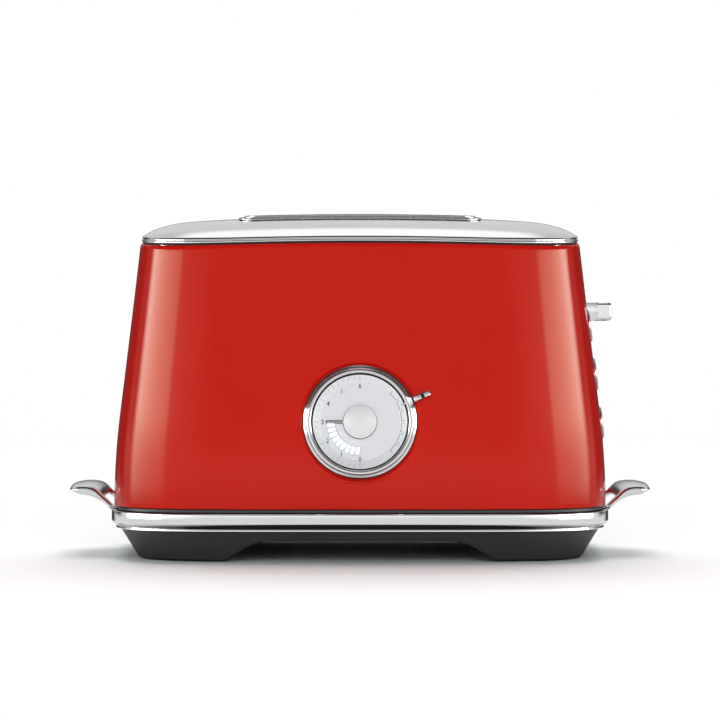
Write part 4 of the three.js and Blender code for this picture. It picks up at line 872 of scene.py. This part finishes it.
def skirt_surfaces():
    """The skirt: its leaning face down to the underside line, the underside drawn in to y = 0, and the hollow top."""
    foot_x = np.interp(FOOT_Z, arch_line[:, 1], arch_line[:, 0])
    turns = even_turns(480)
    kinks = np.arccos((np.array([foot_x, 74.5]) / (HALF_X - 11.5)) ** 2.5)
    turns = np.sort(np.concatenate([turns, np.pi + kinks, np.pi - kinks, 2 * np.pi - kinks, 2 * np.pi + kinks]))

    def lean(z):
        """The face's inset at a height."""
        return SKIRT_TOP_INSET + 0.592 * (SKIRT_TOP_Z - z)

    foot = np.full(len(turns), FOOT_Z)
    for _ in range(30):
        foot = underside(outline(turns, lean(foot))[0])
    face_z = SKIRT_TOP_Z - 0.5
    rows = [ring_row(turns, *place) for place in rounded(
        [(5.0, SKIRT_TOP_Z, 0), (SKIRT_TOP_INSET, SKIRT_TOP_Z, 0.5), (3.6, face_z, 0)], 4)]
    for share in np.linspace(0, 1, 14)[1:]:
        z = face_z + (foot + 1.3 - face_z) * share
        rows.append(ring_row(turns, lean(z), z))
    start = rows[-1]
    bottom, inner = ring_row(turns, lean(foot), foot), ring_row(turns, lean(foot) + 1.5, foot)
    rows += [quadratic(t, start, bottom, inner) for t in np.linspace(0, 1, 7)[1:]]
    rows[-1][:, 2] = underside(rows[-1][:, 0])
    rows += [rows[-1] * [1, share, 1] for share in (0.96, 0.85, 0.6, 0.3, 0.0)]
    hollow = [ring_row(turns, *place) for place in [(5.0, SKIRT_TOP_Z), (5.0, 26.3), (8.0, 26.3), (8.0, 13.2)]]
    hollow += [hollow[-1] * [1, share, 1] for share in (0.6, 0.0)]
    return [sheet(np.stack(rows), around=True), sheet(np.stack(hollow), around=True)]


# The tray's opening, then at each corner the foot pad's seat, the screw's head and its shank, then the cord's way
skirt_holes = [box_cutter((-BAND_GAP_X, 70.0, 14.5), (BAND_GAP_X, 110.0, 40.0))]
for sx in (-1, 1):
    for sy in (-1, 1):
        skirt_holes.append(bore_cutter(sx * 97.0, sy * 58.0, 8.3, (-3.0, 2.1), 64))
        skirt_holes.append(bore_cutter(sx * 86.0, sy * 44.0, 3.3, (-3.0, 7.3)))
        skirt_holes.append(bore_cutter(sx * 86.0, sy * 44.0, 1.8, (6.0, 20.0)))
skirt_holes.append(bore_cutter(CORD_X, CORD_Z, 4.9, (46.0, 110.0), lying=True))
skirt_holes.append(bore_cutter(CORD_X, 50.9, 4.88, (CORD_Z, 20.0)))
piece("base_skirt_shell", skirt_surfaces(), plastic, "housing", ["base_skirt"], cutters=skirt_holes)


# Handles: a bent, rounded bar that runs out from the body, across and back, thicker at the grip

ROOT_X = 134.2
HANDLE_REACH, HANDLE_HALF_Y, HANDLE_RISE, WINDOW_REACH = 28.3, 35.0, 13.0, 9.4
# The bar's lower and upper lines, as shares of its reach and rise
HANDLE_LOW = [(0.16, 0), (0.332, 0.277), (0.576, 0.49), (0.806, 0.56), (1, 0.76)]
HANDLE_HIGH = [(1, 0.76), (0.93, 0.92), (0.7, 1), (0.47, 0.9), (0.27, 0.52), (0.11, 0.14)]


def handle_heights(reach):
    """The bar's lower and upper heights at a reach from its root, each a smooth curve through its points."""
    low = catmull(HANDLE_LOW, 80) * [HANDLE_REACH, HANDLE_RISE]
    high = catmull(HANDLE_HIGH, 100)[::-1] * [HANDLE_REACH, HANDLE_RISE]
    low = np.concatenate([[(0, 0), (3.0, 0), (3.25, -1.7), (3.7, -1.4)], low])
    high = np.concatenate([[(0, 1.65), (1.7, 1.65)], high])
    return RIM_FOOT_Z + np.interp(reach, low[:, 0], low[:, 1]), RIM_FOOT_Z + np.interp(reach, high[:, 0], high[:, 1])


def handle_surfaces(turn_over):
    """A bar between an inner line round the window and an outer line, with half-round edges all along."""
    arm = np.linspace(0, 1, 16)[:-1]
    quarter = np.linspace(0, np.pi / 2, 9)[:-1]
    grip = np.linspace(1, 0, 22)

    def bent_line(reach, half_y, radius):
        """From the body along an arm, round a quarter circle, along the grip, and the same way back."""
        arm_reach, grip_y = reach - radius, half_y - radius
        half = np.concatenate([
            np.stack([arm * arm_reach, 0 * arm + half_y], 1),
            np.stack([arm_reach + radius * np.sin(quarter), grip_y + radius * np.cos(quarter)], 1),
            np.stack([0 * grip + reach, grip_y * grip], 1)])
        return np.concatenate([half, half[-2::-1] * [1, -1]])

    inner, outer = bent_line(WINDOW_REACH, 27.0, 2.0), bent_line(HANDLE_REACH, HANDLE_HALF_Y, 5.4)
    edge = np.concatenate([1 - np.cos(np.linspace(0, np.pi / 2, 7)), [1.7, 2.6, 4.0]]) * 1.5
    width = np.linalg.norm(outer - inner, axis=1)[:, None]
    between = np.linspace(0, 1, 9)[1:-1] * (1 - 12 / width) + 6 / width
    share = np.clip(np.concatenate([edge / width, between, 1 - edge[::-1] / width], 1), 0, 1)
    into = np.minimum(share, 1 - share) * width
    full = np.sqrt(np.clip(1 - (1 - np.clip(into / 1.5, 0, 1)) ** 2, 0, 1))
    reach = inner[:, :1] * (1 - share) + outer[:, :1] * share
    y = inner[:, 1:] * (1 - share) + outer[:, 1:] * share
    low, high = handle_heights(reach)
    high = high - 1.5 * (y / HANDLE_HALF_Y) ** 2 * np.clip(reach / 8.0, 0, 1)
    middle, half = (low + high) / 2, (high - low) / 2 * full
    bowed = 1 - 2.5 * (y / HANDLE_HALF_Y) ** 2 / (HANDLE_REACH - WINDOW_REACH)
    x = ROOT_X + np.minimum(reach, WINDOW_REACH) + np.maximum(reach - WINDOW_REACH, 0) * bowed
    top = np.stack([x, y, middle + half], -1)
    bottom = np.stack([x, y, middle - half], -1)[:, ::-1]
    grid = np.concatenate([top, bottom[:, 1:-1]], 1)
    if turn_over:
        grid = grid * [-1, -1, 1]
    return [sheet(shut(grid), around=True)]


piece("grip_right", handle_surfaces(False), cast, "housing", ["handle_right"], sharp=60)
piece("grip_left", handle_surfaces(True), cast, "housing", ["handle_left"], sharp=60)


# Dial: bezel, selector ring with its arm and pointer, scale ring, disc, knob, needle, marks and lit windows

def ring_piece(name, corners, look, body, replaced=(), steps=160, placed=dial_frame):
    """A closed section of rounded corners turned about the frame's axis."""
    grid = turned(rounded(corners, 6, True), placed, steps)
    return piece(name, [sheet(grid, True, True)], look, body, replaced)


ring_piece("bezel", [
    (26.4, -8.0, 0), (27.95, -8.0, 0), (27.95, -0.5, 0.1), (30.15, -0.5, 0.2), (30.15, 2.25, 0.2), (28.95, 2.88, 0.2),
    (28.85, 2.0, 0.1), (28.85, 0.7, 0.1), (26.4, 0.7, 0.1)], chrome, "housing", ["dial_bezel"])
# Painted shade: a thin dark rubber ring round the bezel's foot, standing in for the dark line of shade at the bezel's
# outer edge
ring_piece("bezel_shadow_outline", [(30.05, -0.7, 0), (30.5, -0.7, 0), (30.5, 0.45, 0.12), (30.05, 0.45, 0.1)],
           rubber, "housing")

SELECTOR_TURN = np.pi / 8


def selector_arm(r, grow=0.0):
    """The arm's rounded sections at the radii r, with a flare into the ring and a groove near the tip.

    Grow makes every section larger all round, for the dark inlays.
    """
    tip = np.clip((r - 39.6) / 0.8, 0, 1)
    tip = np.sqrt(np.clip(1 - tip ** 2, 0.01, 1))
    groove = np.clip(1 - np.abs(r - 36.0) / 0.9, 0, 1) ** 0.5
    half = (1.55 + 2.2 * np.exp(-((r - 26.8) / 1.9) ** 1.7)) * (1 - 0.2 * groove)
    half = half - 1.1 * (1 - tip) + grow
    top = np.interp(r, [26.8, 28.4, 30.5, 33.0, 40.4], [3.95, 4.45, 5.05, 5.4, 5.4])
    top = top - 0.9 * groove - 0.5 * (1 - tip) + grow
    low = 3.5 + 0.5 * (1 - tip) - grow
    corner = np.minimum(half, (top - low) / 2) * 0.75
    rows = []
    for out, wide, upper, lower, bend in zip(r, half, top, low, corner):
        section = rounded_rect(wide, (upper - lower) / 2, bend, 5) + [0, (upper + lower) / 2]
        rows.append(np.insert(section, 0, out, axis=1))
    return shut(np.stack(rows))


def selector_pointer():
    """The pointer: a small ridge that narrows inward from the ring to its tip over the scale."""
    r = np.linspace(22.9, 27.2, 10)
    half = 1.2 * (r - 22.9) / 4.3 + 0.02
    across = np.array([-1, -0.5, 0, 0.5, 1, 0.4, -0.4])
    level = np.array([0, 0.5, 0.62, 0.5, 0, -0.1, -0.1])
    lift = 3.26 + level[None] * np.clip(half / 0.6, 0.15, 1)[:, None]
    return shut(np.stack([r[:, None] + 0 * lift, half[:, None] * across, lift], -1))


def at_selector(grid):
    """A grid on the dial's right side turned to where the selector stands, as a surface."""
    c, s = np.cos(SELECTOR_TURN), np.sin(SELECTOR_TURN)
    turn = np.array([[c, s, 0], [-s, c, 0], [0, 0, 1]])
    return sheet(in_frame(grid @ turn, dial_frame), True)


selector_section = rounded([(26.1, 1.0, 0.2), (28.6, 1.0, 0.2), (28.6, 4.2, 1.15), (26.1, 4.2, 0.95)], 7, True)
arm_radii = np.concatenate([np.linspace(*span) for span in [(26.8, 34.8, 22), (35.0, 37.0, 21), (37.3, 40.4, 14)]])
piece("selector", [
    sheet(turned(selector_section, dial_frame, 160), True, True),
    at_selector(selector_arm(arm_radii)), at_selector(selector_pointer()),
], chrome, "selector", ["selector_ring"], sharp=55)
piece("selector_inlays", [
    at_selector(selector_arm(np.linspace(*span, 15), 0.05)) for span in [(29.9, 30.9), (35.25, 36.75)]
], rubber, "selector", sharp=55)

DISC_EDGE = 20.8
ring_piece("scale_cone", [
    (DISC_EDGE, -0.1, 0), (25.2, -0.1, 0), (25.2, 2.23, 0.12), (24.8, 2.11, 0), (21.3, 0.98, 0),
    (DISC_EDGE, 0.9, 0.05)], white, "housing", ["dial_scale_ring"])
# Painted shadow: a dark rubber ring between the scale and the selector ring, standing in for the shadowed gap between
# them
ring_piece("scale_shadow_ring", [(25.2, -0.1, 0), (25.95, -0.1, 0), (25.95, 2.2, 0.1), (25.2, 2.0, 0)],
           rubber, "housing")
ring_piece("dial_face", [(3.3, -0.2, 0), (20.77, -0.2, 0), (20.77, 0.9, 0.03), (3.3, 0.9, 0.05)],
           white, "housing", ["dial_disc"])

# Painted shadow: a ring of dark ink round the knob's foot, standing in for the shadow line under the knob
ring_piece("knob_painted_shadow_ring", [(8.4, 0.85, 0), (9.2, 0.85, 0), (9.2, 0.95, 0.03), (8.4, 0.95, 0.03)],
           ink, "housing")

dome_r = 8.9 * np.cos(np.linspace(0, np.pi / 2, 22))
knob_profile = np.concatenate([
    [(0, -9.0), (3.0, -9.0), (3.0, 1.2)],
    rounded([(3.0, 1.2, 0), (8.7, 1.2, 0.3), (8.9, 1.9, 0.2), (8.9, 3.3, 0)], 4)[1:],
    np.stack([dome_r, np.sqrt(13.35 ** 2 - dome_r ** 2) - 6.55], 1)])
knob_profile[-1] = (0, 6.8)


def needle(half, low, high, near, far):
    """A flat needle that points left: a block with a rounded far end and softened upper edges."""
    grid = block((far - near) / 2, half, low, high, half * 0.98, 0.15, 3) - [(near + far) / 2, 0, 0]
    return [sheet(in_frame(grid, dial_frame), True)]


piece("knob_cap", [sheet(turned(knob_profile, dial_frame), True)], lacquer, "browning_dial",
      ["browning_knob"], sharp=50)
# Painted shade: a wider needle of dark ink under the silver one, its rim standing in for the shadowed gap round the
# needle
piece("needle_shadow_outline", needle(0.85, 1.2, 1.72, 4.6, 18.5), ink, "browning_dial")
piece("needle_top", needle(0.42, 1.6, 1.8, 8.0, 18.0), spun, "browning_dial")


def cone_height(r):
    """The scale's surface: flat to the disc's edge, then rising along the cone."""
    return np.where(r < DISC_EDGE, 0.9, 0.9 + 1.5 * (r - DISC_EDGE) / 5.0) + 0.035


def patches(x, y, level):
    """Open surfaces on the dial, one for each first index of x and y, at their levels."""
    return [sheet(in_frame(grid, dial_frame)) for grid in np.stack([x, y, level + 0 * x], -1)]


def strokes(r, across, angles, level):
    """Radial strokes, one at each angle in degrees: r runs along them, and across from side to side."""
    r, aim = r[:, None], np.radians(angles)[:, None, None]
    return patches(r * np.cos(aim) - across * np.sin(aim), r * np.sin(aim) + across * np.cos(aim), level)


def marks(inner, outer, angles, width):
    """Strokes on the scale, of an even width."""
    r = np.linspace(inner, outer, 5)
    return strokes(r, np.array([-0.5, 0.5]) * width, angles, cone_height(r)[:, None])


def arcs(middles, half_span, radius, width):
    """Arc strokes about the dial's centre, one round each middle angle in degrees."""
    aim = np.radians(middles[:, None, None] + np.linspace(-half_span, half_span, 14)[:, None])
    r = radius + np.array([-0.5, 0.5]) * width
    return patches(r * np.cos(aim), r * np.sin(aim), cone_height(r))


def digit(text, angle, radius, height):
    """A numeral as flat triangles, upright on the dial at an angle and radius, made a mesh before it is placed."""
    curve = bpy.data.curves.new("digit", "FONT")
    curve.body, curve.size, curve.offset, curve.resolution_u = text, 1.0, 0.016, 6
    holder = linked("digit", curve)
    mesh = bpy.data.meshes.new_from_object(holder.evaluated_get(bpy.context.evaluated_depsgraph_get()))
    flat = np.zeros(len(mesh.vertices) * 3)
    mesh.vertices.foreach_get("co", flat)
    mesh.calc_loop_triangles()
    faces = np.zeros(len(mesh.loop_triangles) * 3, int)
    mesh.loop_triangles.foreach_get("vertices", faces)
    bpy.data.objects.remove(holder)
    bpy.data.curves.remove(curve)
    bpy.data.meshes.remove(mesh)
    flat = flat.reshape(-1, 3)
    low, high = flat.min(0), flat.max(0)
    flat = (flat - (low + high) / 2) * height / (high - low)[1]
    flat = flat * [0.92, 1, 1] + [radius * np.cos(np.radians(angle)), radius * np.sin(np.radians(angle)), 0]
    flat[:, 2] = cone_height(np.hypot(flat[:, 0], flat[:, 1])) + 0.02
    return in_frame(flat, dial_frame), faces.reshape(-1, 3)


def printed(name, surfaces, look):
    """Flat print on the dial: every face turned the way the dial looks."""
    facing = []
    for points, faces in surfaces:
        first, second, third = (points[faces[:, k]] for k in range(3))
        away = np.cross(second - first, third - first) @ dial_frame[2] < 0
        facing.append((points, np.where(away[:, None], faces[:, ::-1], faces)))
    return piece(name, facing, look, "housing", closed=False)


whole_places = np.arange(7) * -30.0 + 270.0
fine_places = np.array([a for a in np.arange(90.0, 270.1, 7.5) if a % 30])
printed("dial_numerals", [digit(str(n), 270.0 - 30.0 * n, r, 2.56)
                          for n, r in ((0, 19.9), (1, 19.9), (2, 19.9), (3, 20.0), (4, 19.6), (6, 19.3))], ink)
# The five, at the dial's upper left, is printed in the paler ink: a painted highlight over it
printed("dial_numeral_five", [digit("5", 120.5, 19.3, 2.5)], highlight_pale_ink)
printed("scale_marks", marks(21.9, 24.6, whole_places, 0.2) + marks(23.0, 24.6, fine_places, 0.16),
        print_finish("scale_ink", (0.24, 0.25, 0.27), (0.30, 0.31, 0.33)))
arc_middles = 37.5 - 15.0 * np.arange(6)
arc_ends = np.concatenate([arc_middles - 6.0, arc_middles + 6.0])
printed("setting_arcs", arcs(arc_middles, 6.0, 22.2, 0.28) + marks(22.2, 24.0, arc_ends, 0.2), ink)


def lamp_glow():
    """The disc's soft glow round the lit windows: part of a ring, finely divided."""
    turn = np.radians(np.linspace(172, 276, 60))
    r = np.linspace(11.6, 19.2, 20)[None, :, None]
    return patches(r * np.cos(turn), r * np.sin(turn), 0.945)


# Nine lit windows with even sides in a quarter ring from the foot of the scale to its left
lit_windows = strokes(np.linspace(13.7, 17.5, 8), np.linspace(-0.86, 0.86, 6), 265.4 - 10.0 * np.arange(9), 0.96)
printed("lit_scale_windows", lit_windows, lit_finish())
printed("lit_scale_glow", lamp_glow(), glow_finish())


# Buttons and lever

for name, placed in button_frames.items():
    cap = np.concatenate([
        [(0, -9.0), (2.0, -9.0), (2.0, -5.2), (7.3, -5.2), (7.3, -4.3), (6.4, -4.3), (6.4, -0.3)],
        [(6.4 * np.cos(a), -0.3 + 0.5 * np.sin(a) + 0.5 * (1 - np.cos(a))) for a in np.linspace(0.15, np.pi / 2, 14)]])
    cap[-1] = (0, 0.7)
    piece(f"button_{name}_cap", [sheet(turned(cap, placed, 64), True)], chrome, f"button_{name}",
          [f"button_cap_{name}"], sharp=45)
    ring_piece(f"button_{name}_trim", [
        (6.7, -4.0, 0), (7.6, -4.0, 0), (7.6, -2.1, 0.1), (8.9, -2.1, 0.15), (8.9, 0.3, 0.5), (7.9, 1.1, 0.4),
        (6.75, 0.5, 0.3)], brushed, "housing", [f"button_ring_{name}"], 72, placed)


def lever_surfaces():
    """The lever's paddle: sections across its width, round outside and square inside, and its neck in the slot."""
    half_x, half_y, half_z, round_off = 4.1, 15.0, 5.15, 1.6
    ends = half_y - round_off * (1 - np.cos(np.linspace(0.12, np.pi / 2, 7)))
    y = np.concatenate([[-half_y] * 2, -ends, np.linspace(-13.2, 13.2, 14), ends[::-1], [half_y] * 2])
    past = np.clip(np.abs(y) - (half_y - round_off), 0, round_off)
    roll = round_off - np.sqrt(np.clip(round_off ** 2 - past ** 2, 0, None))
    roll[[0, -1]] += 0.2
    rows = []
    for across, less in zip(y, roll):
        outer = rounded_rect(half_x - less, half_z - less, 2.4 - min(less, 1.9))
        inner = rounded_rect(half_x, half_z - less, 0.25)
        section = np.where(outer[:, :1] > 0, outer, inner) + [137.1, LEVER_Z]
        rows.append(np.insert(section, 1, across, axis=1))
    neck = rounded_rect(3.0, 5.1, 0.5, 5) + [0, LEVER_Z]
    necks = [np.insert(neck, 0, x, axis=1) for x in (119.0, 121.0, 130.0, 134.5)]
    return [sheet(shut(np.stack(part)), True) for part in (rows, necks)]


piece("lever_paddle", lever_surfaces(), chrome, "carriage", ["lever_knob"], sharp=50)


def wire_guard(plane_y):
    """A bread guard: seven round uprights between two round rails, all of one wire."""
    low, high, reach, inset = 30.8, 156.3, 76.9, 6.0
    lines = [np.stack([np.linspace(-reach, reach, 24), np.full(24, plane_y), np.full(24, z)], 1) for z in (low, high)]
    for x in np.linspace(-reach + inset + 0.8, reach - inset - 0.8, 7):
        lines.append(np.stack([np.full(8, x), np.full(8, plane_y), np.linspace(low, high, 8)], 1))
    return [sheet(tube(line, 0.8, 10), True) for line in lines]


for row in ("front", "rear"):
    for face in ("outer", "inner"):
        node = f"bread_guard_{row}_{face}"
        low_corner, high_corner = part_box(node)
        piece(f"guard_wires_{row}_{face}", wire_guard((low_corner[1] + high_corner[1]) / 2 / MM), steel,
              f"guard_{row}_{face}", [node])


def gland_surfaces():
    """The cord gland: a turned sleeve with a bore, a rounded collar and a recess round its mouth."""
    low_corner, high_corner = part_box("cord_gland")
    start, far = low_corner[1] / MM, high_corner[1] / MM
    placed = np.array([[-1, 0, 0], [0, 0, 1], [0, 1, 0], [CORD_X, start, CORD_Z]], float)
    depth = far - start
    section = rounded([
        (3.0, 0, 0), (4.6, 0, 0.2), (4.6, depth - 1.4, 0.1), (6.0, depth - 1.4, 0.3), (6.0, depth, 0.6),
        (3.6, depth, 0.5), (3.0, depth - 1.2, 0.3)], 5, True)
    return [sheet(turned(section, placed, 56), True, True)]


piece("gland_sleeve", gland_surfaces(), rubber, "housing", ["cord_gland"])

# Camera, light and floor

eye = bpy.data.cameras.new("photo_camera")
eye.sensor_width, eye.lens, eye.shift_y = 36.0, 141.6, -0.0293
eye.clip_start, eye.clip_end = 0.05, 30.0
scene.camera = linked("photo_camera", eye)
scene.camera.location, scene.camera.rotation_euler = (0.0, -1.6, 0.12), (np.pi / 2, 0, 0)


def soft_sun(name, toward, softness, strength):
    """A very soft distant lamp, in degrees of softness, from a direction, unseen in reflections."""
    light = bpy.data.lights.new(name, "SUN")
    light.angle, light.energy = np.radians(softness), strength
    lamp = linked(name, light)
    back = np.array(toward, float) / np.linalg.norm(toward)
    side = np.cross([0, 1, 0], back)
    side /= np.linalg.norm(side)
    turn = np.eye(4)
    turn[:3, 0], turn[:3, 1], turn[:3, 2], turn[:3, 3] = side, np.cross(back, side), back, back * 3
    lamp.matrix_world = Matrix(turn.tolist())
    lamp.visible_glossy = False


soft_sun("overhead_lamp", (0.0, 0.45, 0.89), 56.0, 2.7)
soft_sun("front_lamp", (0.0, -0.97, 0.24), 50.0, 1.74)


def world_light():
    """White for the camera, even light for matt surfaces, and for reflections a studio's pattern round the object."""
    world = bpy.data.worlds.new("studio")
    scene.world = world
    f = Finish("studio", world)
    x, y, z = f.axis("x"), f.axis("y"), f.axis("z")
    ground = f.node("ShaderNodeMath", {"operation": "SQRT"}, {0: x * x + y * y})
    height = f.node("ShaderNodeMath", {"operation": "ARCTAN2"}, {0: z, 1: ground}) * (180 / np.pi)
    across = f.node("ShaderNodeMath", {"operation": "ABSOLUTE"}, {0: x})
    azimuth = f.node("ShaderNodeMath", {"operation": "ARCTAN2"}, {0: across, 1: y * -1.0}) * (180 / np.pi)
    above = height.between(4.0, 9.0)
    depth = height * -1.0
    front = (0.68 + height.between(-1.0, 2.0) * 0.27) * (1 - above) + 0.4 * above * (1 - height.between(17.0, 24.0))
    front = front * (1 - depth.between(20.0, 60.0) * 0.8)
    beside = height.between(-3.0, -1.0) * azimuth.between(112.0, 126.0)
    front = front * (1 - azimuth.between(140.0, 156.0)) * (1 - beside)
    card = azimuth.between(14.0, 39.0) * 1.8 + azimuth.between(39.0, 41.0) * 4.5 + azimuth.between(41.0, 88.0) * 9.0
    card = card * (1 - azimuth.between(90.0, 102.0)) * (1 - height.between(15.0, 20.0))
    card = card * (height.between(-3.0, 1.0) * 0.4 + height.between(2.0, 12.0) ** 1.5 * 0.73)
    behind = azimuth.between(154.0, 166.0)
    rear = behind * height.between(3.0, 10.0) * 0.62
    rear = rear + azimuth.between(108.0, 130.0) * (1 - behind) * height.between(17.0, 28.0) * 0.5
    lowered = azimuth.between(60.0, 90.0) * (1 - azimuth.between(120.0, 150.0)) * 10.0
    lifted = azimuth.between(120.0, 165.0) * 23.0 - lowered
    top = (height + lifted).between(68.0, 78.0)
    pattern = (front + card + rear + 0.05) * (1 - top) + top * 1.1
    glossy = f.node("ShaderNodeLightPath", output=3)
    seen = f.node("ShaderNodeLightPath", output=0)
    value = (1 - glossy) * 0.17 + glossy * pattern
    value = value * (1 - seen) + seen
    background = f.node("ShaderNodeBackground", {}, {0: (1, 1, 1), 1: value})
    f.node("ShaderNodeOutputWorld", {}, {0: background})


world_light()


def floor_piece():
    """A round pale floor, large enough for its edge to melt into the white behind it."""
    turn = np.linspace(0, 2 * np.pi, 96, endpoint=False)
    radii = np.array([0.0, 200, 400, 800, 1600, 3200, 6000.0])[:, None]
    grid = np.stack([radii * np.cos(turn), radii * np.sin(turn), 0 * radii * turn], -1)
    made = joined("pale_floor", [sheet(grid, around=True)], closed=False)
    f = Finish("pale_floor")
    cloud = f.noise(3.0, 2.0)
    away = f.node("ShaderNodeVectorMath", {"operation": "LENGTH"}, {0: f.place}, output=1)
    glossy = f.node("ShaderNodeLightPath", output=3)
    plain = f.mix(cloud, (0.94, 0.94, 0.94), (0.95, 0.95, 0.95))
    # Painted tint: near the middle the floor is painted less red, cancelling the red light that the body bounces onto
    # it
    plain = f.mix(1 - away.between(0.12, 0.26), plain, (0.905, 0.94, 0.94))
    # Painted shadow: for reflections the floor within about 0.13 m of the middle is painted near black, a contact
    # shadow that only shiny parts see
    made.data.materials.append(f.surface(
        Base_Color=f.mix((1 - away.between(0.128, 0.15)) * glossy, plain, (0.04, 0.04, 0.04)), Roughness=0.9,
        Specular_IOR_Level=0.0,
        Alpha=(1 - away.between(0.4, 2.0)) * (1 - away.between(0.15, 0.24) * glossy)))


floor_piece()

scene.view_settings.view_transform = "Standard"
